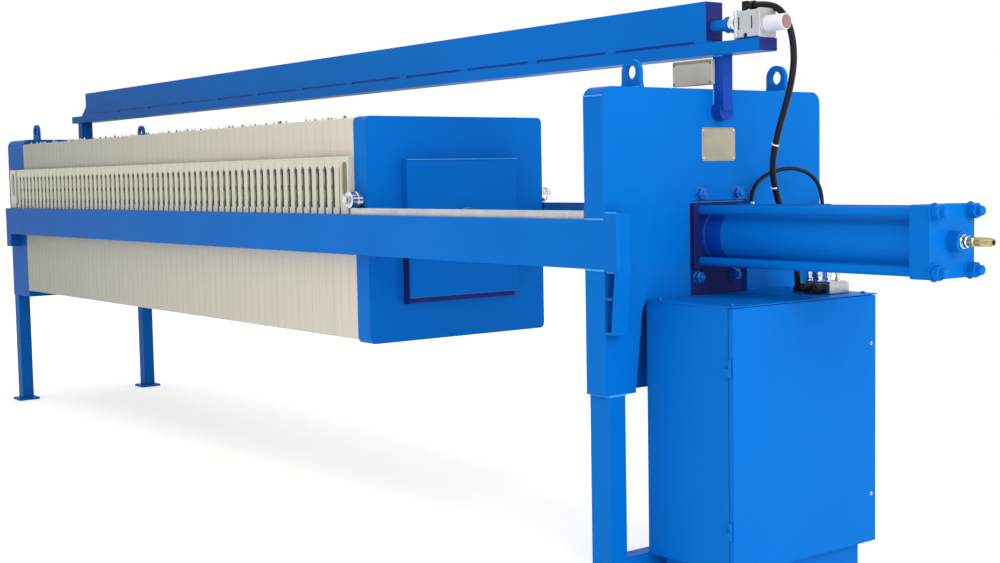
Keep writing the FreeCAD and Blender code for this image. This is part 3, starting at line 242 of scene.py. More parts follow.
# %% [markdown]
# ### Moulded polypropylene
#
# The plates come from many batches, so each has its own tint.  The number of a plate is the
# whole part of its distance along the pack over the pitch, and white noise of that number
# picks the tint.  Slurry dries on them in streaks, which run downwards.  The pack is also
# painted darker towards the fixed head: painted shade for the light that falls off there.

# %% Make the plastic
PLATE_COUNT = 62
PLATE_GROUPS = ["filter_plates_%d" % group for group in range(1, 5)]
PACK_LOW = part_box(PLATE_GROUPS[0])[0]
PACK_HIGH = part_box(PLATE_GROUPS[-1])[1]


def plastic(name, light, far_shaded):
    """Tint from the plate's number, plus downward streaks and painted shade that darkens it towards the fixed
    head.
    """
    material, shader, place = new_material(name)
    split = add_node(material, "ShaderNodeSeparateXYZ", Vector=place)
    number = between(material, split.outputs["X"], PACK_LOW[0], PACK_HIGH[0], 0.0, PLATE_COUNT)
    whole = add_node(material, "ShaderNodeMath", {"operation": "FLOOR"})
    material.node_tree.links.new(number, whole.inputs[0])
    tint = add_node(material, "ShaderNodeTexWhiteNoise", {"noise_dimensions": "1D"}, W=whole.outputs[0])
    # Painted shade: darker towards the fixed head.
    head_shade = between(material, split.outputs["X"], PACK_LOW[0], PACK_HIGH[0], 1.0, 0.0)
    tone = blend_colours(material, head_shade, light, far_shaded)
    tone = blend_colours(material, between(material, tint.outputs["Value"], 0.0, 1.0, 0.0, 0.12),
                         tone, (0.40, 0.36, 0.31))
    streaks = noise(material, stretched(material, place, (16.0, 16.0, 1.4)), 2.0, 5.0, 0.6)
    tone = blend_colours(material, between(material, streaks, 0.5, 0.85, 0.0, 0.14), tone, (0.44, 0.40, 0.34))
    grain = noise(material, place, 260.0, 3.0)
    links = material.node_tree.links
    links.new(tone, shader.inputs["Base Color"])
    links.new(between(material, streaks, 0.3, 0.8, 0.42, 0.62), shader.inputs["Roughness"])
    links.new(bumped(material, grain, 0.00015), shader.inputs["Normal"])
    shader.inputs["Specular IOR Level"].default_value = 0.3
    shader.inputs["Subsurface Weight"].default_value = 0.08
    shader.inputs["Subsurface Radius"].default_value = (0.006, 0.005, 0.004)
    return material


plate_plastic = plastic("plate_plastic", (0.585, 0.54, 0.46), (0.27, 0.27, 0.225))
handle_plastic = plastic("handle_plastic", (0.58, 0.56, 0.455), (0.48, 0.47, 0.39))
cloth_edge = plastic("cloth_edge", (0.30, 0.27, 0.23), (0.17, 0.165, 0.14))
print("pack from x =", round(PACK_LOW[0], 4), "to", round(PACK_HIGH[0], 4))

# %% [markdown]
# ### Metals, rubber and small parts
#
# Rolled and turned metal shows fine lines one way, so its noise is drawn out along that way.

# %% Make the metals and the rubber


def metal(name, colour, roughness, lines=(1.0, 1.0, 1.0), line_scale=90.0, depth=0.00004):
    """Metal whose roughness and relief follow noise drawn out by lines."""
    material, shader, place = new_material(name)
    drawn = noise(material, stretched(material, place, lines), line_scale, 4.0)
    spots = noise(material, place, 9.0, 3.0)
    darker = tuple(value * 0.78 for value in colour)
    links = material.node_tree.links
    links.new(blend_colours(material, between(material, spots, 0.35, 0.75, 0.0, 1.0), colour, darker),
              shader.inputs["Base Color"])
    rough = between(material, drawn, 0.3, 0.7, roughness * 0.7, roughness * 1.4)
    links.new(rough, shader.inputs["Roughness"])
    links.new(bumped(material, drawn, depth), shader.inputs["Normal"])
    shader.inputs["Metallic"].default_value = 1.0
    return material


rail_steel = metal("rail_steel", (0.57, 0.57, 0.56), 0.26, (0.05, 6.0, 6.0))
chrome_plate = metal("chrome_plate", (0.80, 0.80, 0.80), 0.12, (1.0, 1.0, 1.0), 30.0, 0.00002)
zinc_plate = metal("zinc_plate", (0.55, 0.57, 0.60), 0.3, (1.0, 1.0, 1.0), 60.0)
brass_turned = metal("brass_turned", (0.44, 0.38, 0.19), 0.36, (8.0, 0.2, 0.2), 60.0)
cast_grey = metal("cast_grey", (0.58, 0.60, 0.62), 0.5, (1.0, 1.0, 1.0), 160.0, 0.0002)
plate_metal = metal("bare_plate_metal", (0.46, 0.42, 0.34), 0.42, (0.4, 0.4, 6.0), 70.0)


def matt(name, colour, roughness, relief_scale, depth, specular=0.3):
    """Plain dull material with a little relief and a spotted change of shade."""
    material, shader, place = new_material(name)
    spots = noise(material, place, relief_scale, 4.0)
    lighter = tuple(min(1.0, value * 1.4 + 0.002) for value in colour)
    links = material.node_tree.links
    links.new(blend_colours(material, between(material, spots, 0.4, 0.8, 0.0, 1.0), colour, lighter),
              shader.inputs["Base Color"])
    links.new(between(material, spots, 0.3, 0.8, roughness, roughness + 0.15), shader.inputs["Roughness"])
    links.new(bumped(material, spots, depth), shader.inputs["Normal"])
    shader.inputs["Specular IOR Level"].default_value = specular
    return material


black_rubber = matt("black_rubber", (0.002, 0.002, 0.006), 0.34, 220.0, 0.0002, 0.22)
# Near black for the valve coils, also laid on flat as painted shade for slots.
black_and_slot_shade = matt("black_and_slot_shade", (0.010, 0.010, 0.014), 0.6, 90.0, 0.0001)
motor_end_red = matt("motor_end_red", (0.24, 0.14, 0.12), 0.5, 150.0, 0.0001)
tie_white = matt("tie_white", (0.70, 0.70, 0.70), 0.4, 120.0, 0.0001)
bolt_dark = matt("bolt_dark", (0.060, 0.056, 0.048), 0.5, 120.0, 0.0001)
# Dark grey for handle webs, slot backs and a strip on the junction box: painted shade.
painted_shade_grey = matt("painted_shade_grey", (0.17, 0.17, 0.13), 0.6, 60.0, 0.0001)
cloth_tie = matt("cloth_tie", (0.55, 0.52, 0.46), 0.8, 300.0, 0.0004)
cloth_tie_dark = matt("cloth_tie_dark", (0.13, 0.12, 0.115), 0.8, 300.0, 0.0004)
print("finishes made:", len(bpy.data.materials))

# %% [markdown]
# ### A finish for each solid
#
# Every solid is given a material, and that is all that most of them need.  Some are replaced
# further down by pieces with chamfers, slots and finer rounds.

# %% Dress the solids
BLUE_NODES = [
    "beam_end_blocks", "cabinet_body", "cabinet_door", "cabinet_hinge_pins", "cabinet_plinth",
    "cabinet_top", "cylinder_barrel", "cylinder_end_cap", "cylinder_mount_nuts", "cylinder_tie_rods",
    "drive_shaft", "far_post", "feed_inlet", "feet", "follower_boss", "follower_plate",
    "head_back_plate", "head_beam_brackets", "head_edge_band", "head_ribs", "head_thrust_plate",
    "housing_supports", "legs", "lifting_eyes", "shifter_housing", "side_beams", "stand_back_plate",
    "stand_edge_band", "stand_front_plate", "stand_gussets", "stand_tie_bar", "track_beam",
]
NODE_FINISHES = {name: blue_enamel for name in BLUE_NODES}
NODE_FINISHES.update({name: plate_plastic for name in PLATE_GROUPS})
# The near post, the cylinder's seat and flange and the stand's bore tube take the darker blues: painted
# shade.
NODE_FINISHES.update({
    "near_post": shaded_blue, "cylinder_seat": painted_shade_navy, "cylinder_flange": painted_shade_navy,
    "stand_bore_tube": painted_shade_navy, "head_plate": plate_plastic, "rails": rail_steel,
    "piston_rod": chrome_plate, "roller_axles": chrome_plate, "roller_near": chrome_plate,
    "roller_far": chrome_plate, "door_latches": zinc_plate, "valve_manifold": zinc_plate,
    "hose_fittings": chrome_plate, "conduit_glands": black_rubber, "port_coupling": brass_turned,
    "gearbox": cast_grey, "gear_motor": white_enamel, "junction_box": box_enamel,
    "conduit": black_rubber, "hose": black_rubber, "plate_handles_near": handle_plastic,
    "plate_handles_far": handle_plastic,
})

for node_name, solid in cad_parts.items():
    solid.data.materials.clear()
    solid.data.materials.append(NODE_FINISHES[node_name])
print("solids with a finish:", len(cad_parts))

# %% [markdown]
# ## Cords
#
# A heavy conduit carries the motor's cables down to the cabinet, and a hydraulic hose loops
# from the stand to the valve block.  Each is one smooth spline steered by a few points: the
# line cuts inside their corners, much as a real hose bends.

# %% Lay the conduit and the hose
CONDUIT_POINTS = [
    (165, 22, 2112), (214, 22, 2112), (272, 42, 2090), (304, 68, 2000), (288, 92, 1850),
    (166, 108, 1580), (146, 140, 1445), (174, 240, 1180), (174, 240, 1080),
]
CONDUIT_DIAMETER = 0.024
HOSE_POINTS = [
    (13, 164, 1398), (13, 164, 1450), (50, 220, 1510), (106, 310, 1528), (152, 384, 1480), (192, 366, 1370),
    (256, 264, 1250), (256, 264, 1152),
]
HOSE_DIAMETER = 0.015


def smooth_cord(name, rows, diameter, material):
    """A bevelled curve with the rows as the control points of one open NURBS spline of order 3."""
    curve = bpy.data.curves.new(name, "CURVE")
    curve.dimensions = "3D"
    spline = curve.splines.new("NURBS")
    spline.points.add(len(rows) - 1)
    spline.points.foreach_set("co", np.column_stack([many_at(rows), np.ones(len(rows))]).ravel())
    spline.order_u = 3
    spline.use_endpoint_u = True
    curve.resolution_u = 16
    curve.bevel_depth = diameter / 2
    curve.bevel_resolution = 5
    curve.use_fill_caps = True
    curve.materials.append(material)
    cord = bpy.data.objects.new(name, curve)
    bpy.context.scene.collection.objects.link(cord)
    return cord


conduit_cord = smooth_cord("cable_conduit", CONDUIT_POINTS, CONDUIT_DIAMETER, black_rubber)
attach(conduit_cord, "frame")
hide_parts("conduit")
hose_cord = smooth_cord("hydraulic_hose", HOSE_POINTS, HOSE_DIAMETER, black_rubber)
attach(hose_cord, "frame")
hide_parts("hose")
print("cords laid: conduit and hose")

# %% [markdown]
# ## Surfaces from rings of points
#
# Nearly everything on a press is a section carried along a line: a plate is a square carried
# along the pack, a nut a hexagon, a fitting a circle whose radius changes as it goes.  So one
# helper turns a grid of points, rings by points round, into a closed surface, and the others
# only work out the rings.  Whole arrays are used throughout, which is quick and keeps each
# formula readable.  A surface is three arrays: points, the corners of all faces one after
# the other, and how many corners each face has.

# %% Helpers that make closed surfaces
AXES = {
    "x": ((0, 1, 0), (0, 0, 1), (1, 0, 0)),
    "z": ((1, 0, 0), (0, 1, 0), (0, 0, 1)),
    "-y": ((1, 0, 0), (0, 0, 1), (0, -1, 0)),
}


def directions(axis):
    """Unit vectors across, up and along, right-handed: from the table, or built about any given vector."""
    if isinstance(axis, str):
        return np.array(AXES[axis], float)
    along = np.asarray(axis, float) / np.linalg.norm(axis)
    helper = np.eye(3)[np.argmin(np.abs(along))]
    across = np.cross(helper, along)
    across /= np.linalg.norm(across)
    return np.array([across, np.cross(along, across), along])


def skin(rings, looped=False):
    """Quads join neighbouring points of neighbouring rings; end faces or a joined loop close it."""
    rings = np.asarray(rings, float)
    count, around = rings.shape[:2]
    index = np.arange(count * around).reshape(count, around)
    first = index if looped else index[:-1]
    second = np.roll(index, -1, axis=0)[:len(first)]
    quads = np.stack([first, np.roll(first, -1, 1), np.roll(second, -1, 1), second], axis=-1)
    corners = quads.ravel()
    sizes = np.full(quads.size // 4, 4)
    if not looped:
        corners = np.concatenate([corners, index[0, ::-1], index[-1]])
        sizes = np.concatenate([sizes, [around, around]])
    return rings.reshape(-1, 3), corners, sizes


def joined(surfaces):
    """Arrays laid end to end; each surface's corner numbers are raised by the points before it."""
    before = np.cumsum([0] + [len(surface[0]) for surface in surfaces[:-1]])
    corners = [surface[1] + start for surface, start in zip(surfaces, before)]
    points = np.vstack([surface[0] for surface in surfaces])
    return points, np.concatenate(corners), np.concatenate([surface[2] for surface in surfaces])


def repeated(surface, offsets):
    """Copies of one surface: its points plus each offset in turn, all at once."""
    points, corners, sizes = surface
    offsets = np.asarray(offsets, float)
    moved = (points[None] + offsets[:, None]).reshape(-1, 3)
    raised = corners[None] + (np.arange(len(offsets)) * len(points))[:, None]
    return moved, raised.ravel(), np.tile(sizes, len(offsets))


def mirrored(surface):
    """The same on the far side: y changes sign, and every face is turned round to keep facing outwards."""
    points, corners, sizes = surface
    ends = np.cumsum(sizes)
    position = np.arange(len(corners))
    owner = np.repeat(np.arange(len(sizes)), sizes)
    turned_round = (ends - sizes)[owner] + ends[owner] - 1 - position
    return points * [1, -1, 1], corners[turned_round], sizes


def inset(outline, distance):
    """Each corner moves by minus distance times (n1 + n2) / (1 + n1.n2): both its edges shift inwards."""
    edge = np.roll(outline, -1, axis=0) - outline
    edge = edge / np.linalg.norm(edge, axis=1, keepdims=True)
    after = np.stack([edge[:, 1], -edge[:, 0]], axis=1)
    before = np.roll(after, 1, axis=0)
    return outline - distance * (after + before) / (1 + np.sum(after * before, axis=1, keepdims=True))


def rounded_rectangle(half_across, half_up, radius, steps=2):
    """Four corner centres, each plus radius times (cos, sin) over its quarter turn."""
    turn = np.arange(4)[:, None] * np.pi / 2 + np.linspace(0, np.pi / 2, steps)
    side_across = (half_across - radius) * np.array([1, -1, -1, 1])[:, None]
    side_up = (half_up - radius) * np.array([1, 1, -1, -1])[:, None]
    return np.stack([side_across + radius * np.cos(turn), side_up + radius * np.sin(turn)], -1).reshape(-1, 2)


def carried(outline, steps, place, axis):
    """For each (distance, inset): place, plus along times distance, plus the outline drawn in by inset."""
    across, up, along = directions(axis)
    return skin([np.asarray(place) + along * distance + inset(outline, shrink) @ np.array([across, up])
                 for distance, shrink in steps])


def turned(profile, place, axis, sides=24, hollow=False, phase=0.0):
    """Lathe: a circle for each (distance, radius); hollow joins the last circle to the first."""
    across, up, along = directions(axis)
    angle = np.arange(sides) * 2 * np.pi / sides + phase
    circle = np.cos(angle)[:, None] * across + np.sin(angle)[:, None] * up
    profile = np.asarray(profile, float)
    rings = np.asarray(place) + profile[:, :1, None] * along + profile[:, 1:, None] * circle
    return skin(rings, hollow)


def block(low, high, edge=2.0):
    """Box with chamfered edges: a cut-cornered rectangle carried along x, inset at both ends."""
    low, high = np.asarray(low, float), np.asarray(high, float)
    half = (high - low) / 2
    length = 2 * half[0]
    steps = [(0, edge), (edge, 0), (length - edge, 0), (length, edge)]
    middle = [low[0], (low[1] + high[1]) / 2, (low[2] + high[2]) / 2]
    return carried(rounded_rectangle(half[1], half[2], edge), steps, middle, "x")


SMOOTH_UNDER = math.radians(25)


def make_piece(name, surface, material, body="frame", replaces=()):
    """Puts the arrays into a mesh, in metres; an edge bent by more than SMOOTH_UNDER shows as sharp."""
    points, corners, sizes = surface
    mesh = bpy.data.meshes.new(name)
    mesh.vertices.add(len(points))
    mesh.vertices.foreach_set("co", many_at(points).ravel())
    mesh.loops.add(len(corners))
    mesh.loops.foreach_set("vertex_index", corners.astype(np.int32))
    mesh.polygons.add(len(sizes))
    mesh.polygons.foreach_set("loop_start", (np.cumsum(sizes) - sizes).astype(np.int32))
    mesh.update(calc_edges=True)
    mesh.polygons.foreach_set("use_smooth", np.ones(len(sizes), bool))
    mesh.set_sharp_from_angle(angle=SMOOTH_UNDER)
    mesh.materials.append(material)
    piece = bpy.data.objects.new(name, mesh)
    bpy.context.scene.collection.objects.link(piece)
    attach(piece, body)
    if replaces:
        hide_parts(*replaces)
    print(name, len(sizes), "faces")
    return piece


# %% [markdown]
# ## The filter plates
#
# Sixty-two square plates hang side by side.  Each is a thick moulded slab whose rim is
# chamfered, so that two rims make a shallow groove, and the filter cloth shows as a dark
# line at the bottom of it.  One plate is a square carried along the press with its edges
# drawn in at both ends, and the pack is that plate repeated.  The cloth is one core just
# inside the rims.

# %% Make the filter plates
PITCH = 67.6
PACK_X = (-5949.7, -1758.9)
PLATE_HALF = 500.0
PLATE_CORNER = 5.0
PLATE_MIDDLE_Z = 1286.0
RIM_CHAMFER = 1.8
RIM_INSET = 8.0
CLOTH_GAP = 0.5
CLOTH_INSET = 6.5

plate_outline = rounded_rectangle(PLATE_HALF, PLATE_HALF, PLATE_CORNER)
plate_steps = [
    (CLOTH_GAP, RIM_INSET), (CLOTH_GAP, RIM_CHAMFER), (CLOTH_GAP + RIM_CHAMFER, 0.0),
    (PITCH - CLOTH_GAP - RIM_CHAMFER, 0.0), (PITCH - CLOTH_GAP, RIM_CHAMFER),
    (PITCH - CLOTH_GAP, RIM_INSET),
]
one_plate = carried(plate_outline, plate_steps, (PACK_X[0], 0, PLATE_MIDDLE_Z), "x")
plate_offsets = np.arange(PLATE_COUNT)[:, None] * [PITCH, 0, 0]
make_piece("filter_plates", repeated(one_plate, plate_offsets), plate_plastic,
           replaces=PLATE_GROUPS)
core_steps = [(0.0, CLOTH_INSET), (PACK_X[1] - PACK_X[0], CLOTH_INSET)]
make_piece("filter_cloth_edges", carried(plate_outline, core_steps, (PACK_X[0], 0, PLATE_MIDDLE_Z), "x"),
           cloth_edge)

# %% [markdown]
# ## Cloth ties along the top
#
# Each cloth is tied off at the top of its plate, and the stubs stand up in an uneven row.
# A stub is a tapered block of a few faces.  A generator with a fixed seed shifts them and
# leaves some out, so that the rows are uneven in the same way each time.  They are drawn
# twice, for light ties and for soiled ones.

# %% Make the cloth ties
shuffle = np.random.default_rng(11)
TIE_ROWS_Y = (-462.0, 455.0)
TIE_HEIGHT = 14.0
TIE_DRIFT_ACROSS = 26
TIE_DRIFT_ALONG = 18
TIE_RISE = (-7, 2)


def tie_stubs(keep):
    """For each row and kept plate: a six-sided stub, narrowing upwards, shifted by up to the drift."""
    stub = turned([(-3, 6.0), (TIE_HEIGHT * 0.6, 5.0), (TIE_HEIGHT, 2.5)], (0, 0, 0), "z", 6)
    places = []
    for row_y in TIE_ROWS_Y:
        across = shuffle.uniform(-TIE_DRIFT_ACROSS, TIE_DRIFT_ACROSS, PLATE_COUNT)
        along = shuffle.uniform(-TIE_DRIFT_ALONG, TIE_DRIFT_ALONG, PLATE_COUNT)
        rise = shuffle.uniform(*TIE_RISE, PLATE_COUNT)
        middle = PACK_X[0] + (np.arange(PLATE_COUNT) + 0.5) * PITCH
        places.append(np.column_stack([middle + along, row_y + across, PLATE_MIDDLE_Z + PLATE_HALF + rise]))
    places = np.vstack(places)
    return repeated(stub, places[shuffle.random(len(places)) < keep])


make_piece("cloth_ties", tie_stubs(0.95), cloth_tie)
make_piece("cloth_ties_dark", tie_stubs(0.55), cloth_tie_dark)

# %% [markdown]
# ## The plate handles
#
# Each plate hangs on the rails by a handle bolted to each of its sides.  The handle has a
# broad head that nearly touches the next one, a narrower body, a shallow hollow in its face
# and three bolts beside it.  Its outline is drawn once, carried outwards from the plate and
# drawn in at the face: once for the chamfer and once more for the hollow.

# %% Make the plain handles
HANDLE_ROOT_Y = -500.0
HANDLE_FACE_Y = -534.0
WEB_FACE_Y = -523.0
LIP_BACK_Y = -528.2
LIP_Z = (1354.0, 1386.0)
HANDLE_LOW_Z = 1382.0
HANDLE_TOP_Z = 1614.0
HEAD_HALF = 32.6
BODY_HALF = 18.0
WEB_HALF = 11.0
SHOULDER_Z = 1570.0
BOLT_ROWS_Z = (1553.0, 1476.0, 1403.0)
BOLT_RADIUS = 10.5

handle_outline = np.array([
    (BODY_HALF, HANDLE_LOW_Z), (BODY_HALF, SHOULDER_Z - 12), (HEAD_HALF, SHOULDER_Z + 4),
    (HEAD_HALF, HANDLE_TOP_Z - 6), (HEAD_HALF - 6, HANDLE_TOP_Z), (6 - HEAD_HALF, HANDLE_TOP_Z),
    (-HEAD_HALF, HANDLE_TOP_Z - 6), (-HEAD_HALF, SHOULDER_Z + 4), (-BODY_HALF, SHOULDER_Z - 12),
    (-BODY_HALF, HANDLE_LOW_Z),
])
handle_steps = [(22.0, 0.0), (31.5, 0.0), (34.0, 2.5), (34.0, 7.0), (32.0, 8.5)]
plain_handle = carried(handle_outline, handle_steps, (0, HANDLE_ROOT_Y, 0), "-y")
# A dark grey web behind each handle: painted shade in the gaps between the handles.
handle_web = joined([
    block((-WEB_HALF, WEB_FACE_Y, HANDLE_LOW_Z), (WEB_HALF, HANDLE_ROOT_Y, SHOULDER_Z), 1.0),
    block((-HEAD_HALF + 3, WEB_FACE_Y, SHOULDER_Z), (HEAD_HALF - 3, HANDLE_ROOT_Y, HANDLE_TOP_Z - 4), 1.5),
])
handle_lip = block((-BODY_HALF, HANDLE_FACE_Y, LIP_Z[0]), (BODY_HALF, LIP_BACK_Y, LIP_Z[1]), 1.5)
handle_middles = np.concatenate([PACK_X[0] + (np.arange(PLATE_COUNT - 1) + 0.5) * PITCH,
                                 PACK_X[0] - (np.arange(2) + 0.5) * PITCH])
handle_offsets = handle_middles[:, None] * [1, 0, 0]
handle_bolt = turned([(0, BOLT_RADIUS), (7.0, BOLT_RADIUS), (9.0, BOLT_RADIUS - 2.5)], (0, -526, 0), "-y", 8)
bolt_bar = turned([(0, 5.0), (28, 5.0)], (0, HANDLE_ROOT_Y, 0), "-y", 6)
bolted = handle_offsets[handle_middles < PACK_X[1] - 2 * PITCH]
bolt_offsets = np.concatenate([bolted + [PITCH / 2, 0, row_z] for row_z in BOLT_ROWS_Z])
near_bolts = repeated(joined([handle_bolt, bolt_bar]), bolt_offsets)
near_webs = repeated(handle_web, handle_offsets)
make_piece("handle_webs", joined([near_webs, mirrored(near_webs)]), painted_shade_grey)
make_piece("handle_bolts", joined([near_bolts, mirrored(near_bolts)]), bolt_dark)

# %% [markdown]
# The last plate and the head plate carry broader handles with an upright slot to lift them
# by.  A slot needs a ring: the outline and the slot are both rounded rectangles with the
# same number of points, so the face between them is one band of quads, and the band runs on
# through the slot and closes behind.

# %% Make the slotted handles and put all handles together
SLOT_HALF = (24.0, 76.0)
SLOT_ROUND = 23.0
SLOT_MIDDLE_Z = 1513.0


def slotted_handle(low_x, high_x):
    """Rings from the outer edge over the face into the slot, each at its distance from the plate."""
    middle = ((low_x + high_x) / 2, HANDLE_ROOT_Y, (HANDLE_LOW_Z + HANDLE_TOP_Z) / 2)
    outer = rounded_rectangle((high_x - low_x) / 2, (HANDLE_TOP_Z - HANDLE_LOW_Z) / 2, 9.0, 6)
    slot = rounded_rectangle(*SLOT_HALF, SLOT_ROUND, 6) + [0, SLOT_MIDDLE_Z - middle[2]]
    across, up, along = directions("-y")
    rings = [(outer, 0.0), (outer, 31.0), (inset(outer, 3.0), 34.0), (inset(slot, -6.0), 34.0),
             (inset(slot, -4.0), 32.0), (inset(slot, -1.5), 32.0), (slot, 30.0), (slot, 20.0)]
    plane = np.array([across, up])
    return skin([np.array(middle) + along * out + ring @ plane for ring, out in rings], looped=True)


SLOTTED_X = ((-1830.0, -1759.5), (-6219.7, -6111.7))
# Dark grey backs inside the slots: painted shade in them.
slot_backs = joined([block((low_x + 6, -522.0, HANDLE_LOW_Z + 6), (high_x - 6, -501.0, HANDLE_TOP_Z - 6), 1.0)
                     for low_x, high_x in SLOTTED_X])
near_handles = joined([
    repeated(joined([plain_handle, handle_lip]), handle_offsets),
    *[slotted_handle(low_x, high_x) for low_x, high_x in SLOTTED_X],
    *[block((low_x + 4, HANDLE_FACE_Y, LIP_Z[0]), (high_x - 4, LIP_BACK_Y, LIP_Z[1]), 1.5)
      for low_x, high_x in SLOTTED_X],
])
make_piece("handles_near_side", near_handles, handle_plastic,
           replaces=["plate_handles_near"])
make_piece("handles_far_side", mirrored(near_handles), handle_plastic,
           replaces=["plate_handles_far"])
make_piece("slot_backs", joined([slot_backs, mirrored(slot_backs)]), painted_shade_grey)

# %% [markdown]
# ## The closing cylinder
#
# Four tie rods hold the cap and the flange of this cylinder against the barrel.  The barrel
# is a tube with a raised collar at each end; rods, nuts, washers and threads are all lathe
# work, and a nut is only a lathe shape with six sides, narrowed at its ends where a real one
# is chamfered.

# %% Make the barrel, the tie rods and their nuts
AXIS_Z = 1280.0
BARREL_X = (6.0, 941.0)
CAP_FACE_X = 1016.0
ROD_OFFSET = 95.0
ROD_PLACES = np.array([(0, side, AXIS_Z + rise) for side in (-ROD_OFFSET, ROD_OFFSET)
                       for rise in (-ROD_OFFSET, ROD_OFFSET)])


def nut(place, axis, radius, length, phase=0.0):
    """Six-sided lathe shape on a round washer, narrowed at both ends."""
    washer = turned([(0, radius * 1.18), (2.4, radius * 1.18), (3.0, radius * 1.12)], place, axis, 24)
    body = turned([(3.0, radius * 0.9), (4.8, radius), (length - 2.5, radius), (length, radius * 0.84)],
                  place, axis, 6, phase=phase)
    return joined([washer, body])


def thread(place, axis, radius, start, end, pitch=3.0):
    """Rings at every half pitch, in turn at the crest and at the root, with a chamfered tip."""
    along = np.arange(start, end - pitch, pitch / 2)
    radii = np.where(np.arange(len(along)) % 2, radius, radius - 1.1)
    return turned(np.vstack([np.column_stack([along, radii]), [end, radius - 3.0]]), place, axis, 20)


BORE_RADIUS = 90
BARREL_RADIUS = 100
COLLAR_RADIUS = 104
COLLAR_WIDTH = 12
COLLAR_END = 15
barrel_length = BARREL_X[1] - BARREL_X[0]
barrel_profile = [
    (0, BORE_RADIUS), (0, COLLAR_RADIUS), (COLLAR_WIDTH, COLLAR_RADIUS), (COLLAR_END, BARREL_RADIUS),
    (barrel_length - COLLAR_END, BARREL_RADIUS), (barrel_length - COLLAR_WIDTH, COLLAR_RADIUS),
    (barrel_length, COLLAR_RADIUS), (barrel_length, BORE_RADIUS),
]
barrel = turned(barrel_profile, (BARREL_X[0], 0, AXIS_Z), "x", 64, hollow=True)
make_piece("cylinder_tube", barrel, blue_enamel, replaces=["cylinder_barrel"])
one_rod = joined([
    turned([(0, 17), (barrel_length, 17)], (BARREL_X[0], 0, 0), "x", 24),
    nut((CAP_FACE_X, 0, 0), "x", 26.0, 32.0, 0.26),
    thread((CAP_FACE_X, 0, 0), "x", 16.5, 30.0, 50.0),
])
make_piece("tie_rods_and_nuts", repeated(one_rod, ROD_PLACES), blue_enamel,
           replaces=["cylinder_tie_rods"])
MOUNT_NUT_PLACES = [(0, -97, 1434), (0, 97, 1434), (-14, -97, 1126), (-14, 97, 1126)]
mount_nut = joined([nut((0, 0, 0), "x", 22.0, 21.0), thread((0, 0, 0), "x", 12.0, 19.0, 30.0)])
make_piece("mounting_nuts", repeated(mount_nut, MOUNT_NUT_PLACES), blue_gloss,
           replaces=["cylinder_mount_nuts"])

# %% [markdown]
# The oil port has a chromed hexagon screwed into the boss and a brass coupling with a ridged
# sleeve on it.  The ridges are rings of the lathe profile, in turn wider and narrower.

# %% Make the port coupling
PORT_X = 1056.0
port_hexagon = joined([
    turned([(0, 23), (5, 23), (6, 21)], (PORT_X, 0, AXIS_Z), "x", 32),
    turned([(6, 17.5), (8, 20.8), (20, 20.8), (22, 17.0)], (PORT_X, 0, AXIS_Z), "x", 6, phase=0.2),
])
make_piece("port_hexagon", port_hexagon, chrome_plate, replaces=["port_coupling"])
sleeve = np.column_stack([np.arange(70.0, 102.0, 2.0), np.where(np.arange(16) % 2, 15.0, 13.2)])
brass_profile = np.vstack([[(21, 13), (24, 17), (42, 17), (45, 13), (52, 13), (54, 15), (68, 15)], sleeve,
                           [(103, 12.5), (110, 12.0), (110, 8.0), (84, 8.0)]])
make_piece("brass_coupling", turned(brass_profile, (PORT_X, 0, AXIS_Z), "x", 32), brass_turned)

# %% [markdown]
# ## Rollers
#
# The follower hangs on the rails by one chromed roller each side.  The tread is a lathe
# shape with a guiding groove and a sunken hub, left open in the middle for the axle.  Each
# roller rides on its own body, because it turns as the follower moves.

# %% Make the rollers
ROLLER_PLACE = (-1707.0, -507.0, 1419.3)
TREAD_PROFILE = [
    (0, 12.6), (0, 32), (3, 36.9), (24, 36.9), (27, 34.5), (35, 34.5), (38, 36.9), (58, 36.9),
    (61.5, 33), (61.5, 24), (58, 21), (58, 12.6),
]
near_tread = turned(TREAD_PROFILE, ROLLER_PLACE, "-y", 48, hollow=True)
make_piece("tread_near", near_tread, chrome_plate, "near_roller", ["roller_near"])
make_piece("tread_far", mirrored(near_tread), chrome_plate, "far_roller", ["roller_far"])

# %% [markdown]
# ## The drive on top
#
# A small geared motor turns the shaft of the plate shifter.  The gearbox is a casting with a
# flange at each end, two long slots and screws in its lid; the motor is a smooth tube with a
# reddish end; a chromed ball coupling joins the shaft.

# %% Make the gearbox, the motor and the coupling
GEAR_X = (122.0, 247.0)
GEAR_MIDDLE_Z = 2040.5
SHAFT_Z = 2050
MOTOR_PLACE = (GEAR_X[1], -10, 2036)
gear_outline = rounded_rectangle(45.0, 52.5, 9.0, 5)
gear_steps = [(0, 2.0), (2, 0), (10, 0), (12, 4.0), (112, 4.0), (114, 0), (123, 0), (125, 2.0)]
LID_SCREWS = [(x, y, 2091.0) for x in (136.0, 184.0, 232.0) for y in (-30.0, 30.0)]
gear_screws = repeated(turned([(-6, 5.5), (0.5, 5.5), (2, 4.0)], (0, 0, 0), "z", 12), LID_SCREWS)
gear_case = joined([
    carried(gear_outline, gear_steps, (GEAR_X[0], 0, GEAR_MIDDLE_Z), "x"),
    turned([(0, 34), (6, 34), (8, 32)], (MOTOR_PLACE[0] - 2, *MOTOR_PLACE[1:]), "x", 40),
    turned([(-4, 28), (-2, 30), (2, 30)], (GEAR_X[0], 0, SHAFT_Z), "x", 40),
])
make_piece("gear_case", gear_case, cast_grey, replaces=["gearbox"])
make_piece("gear_case_screws", gear_screws, zinc_plate)
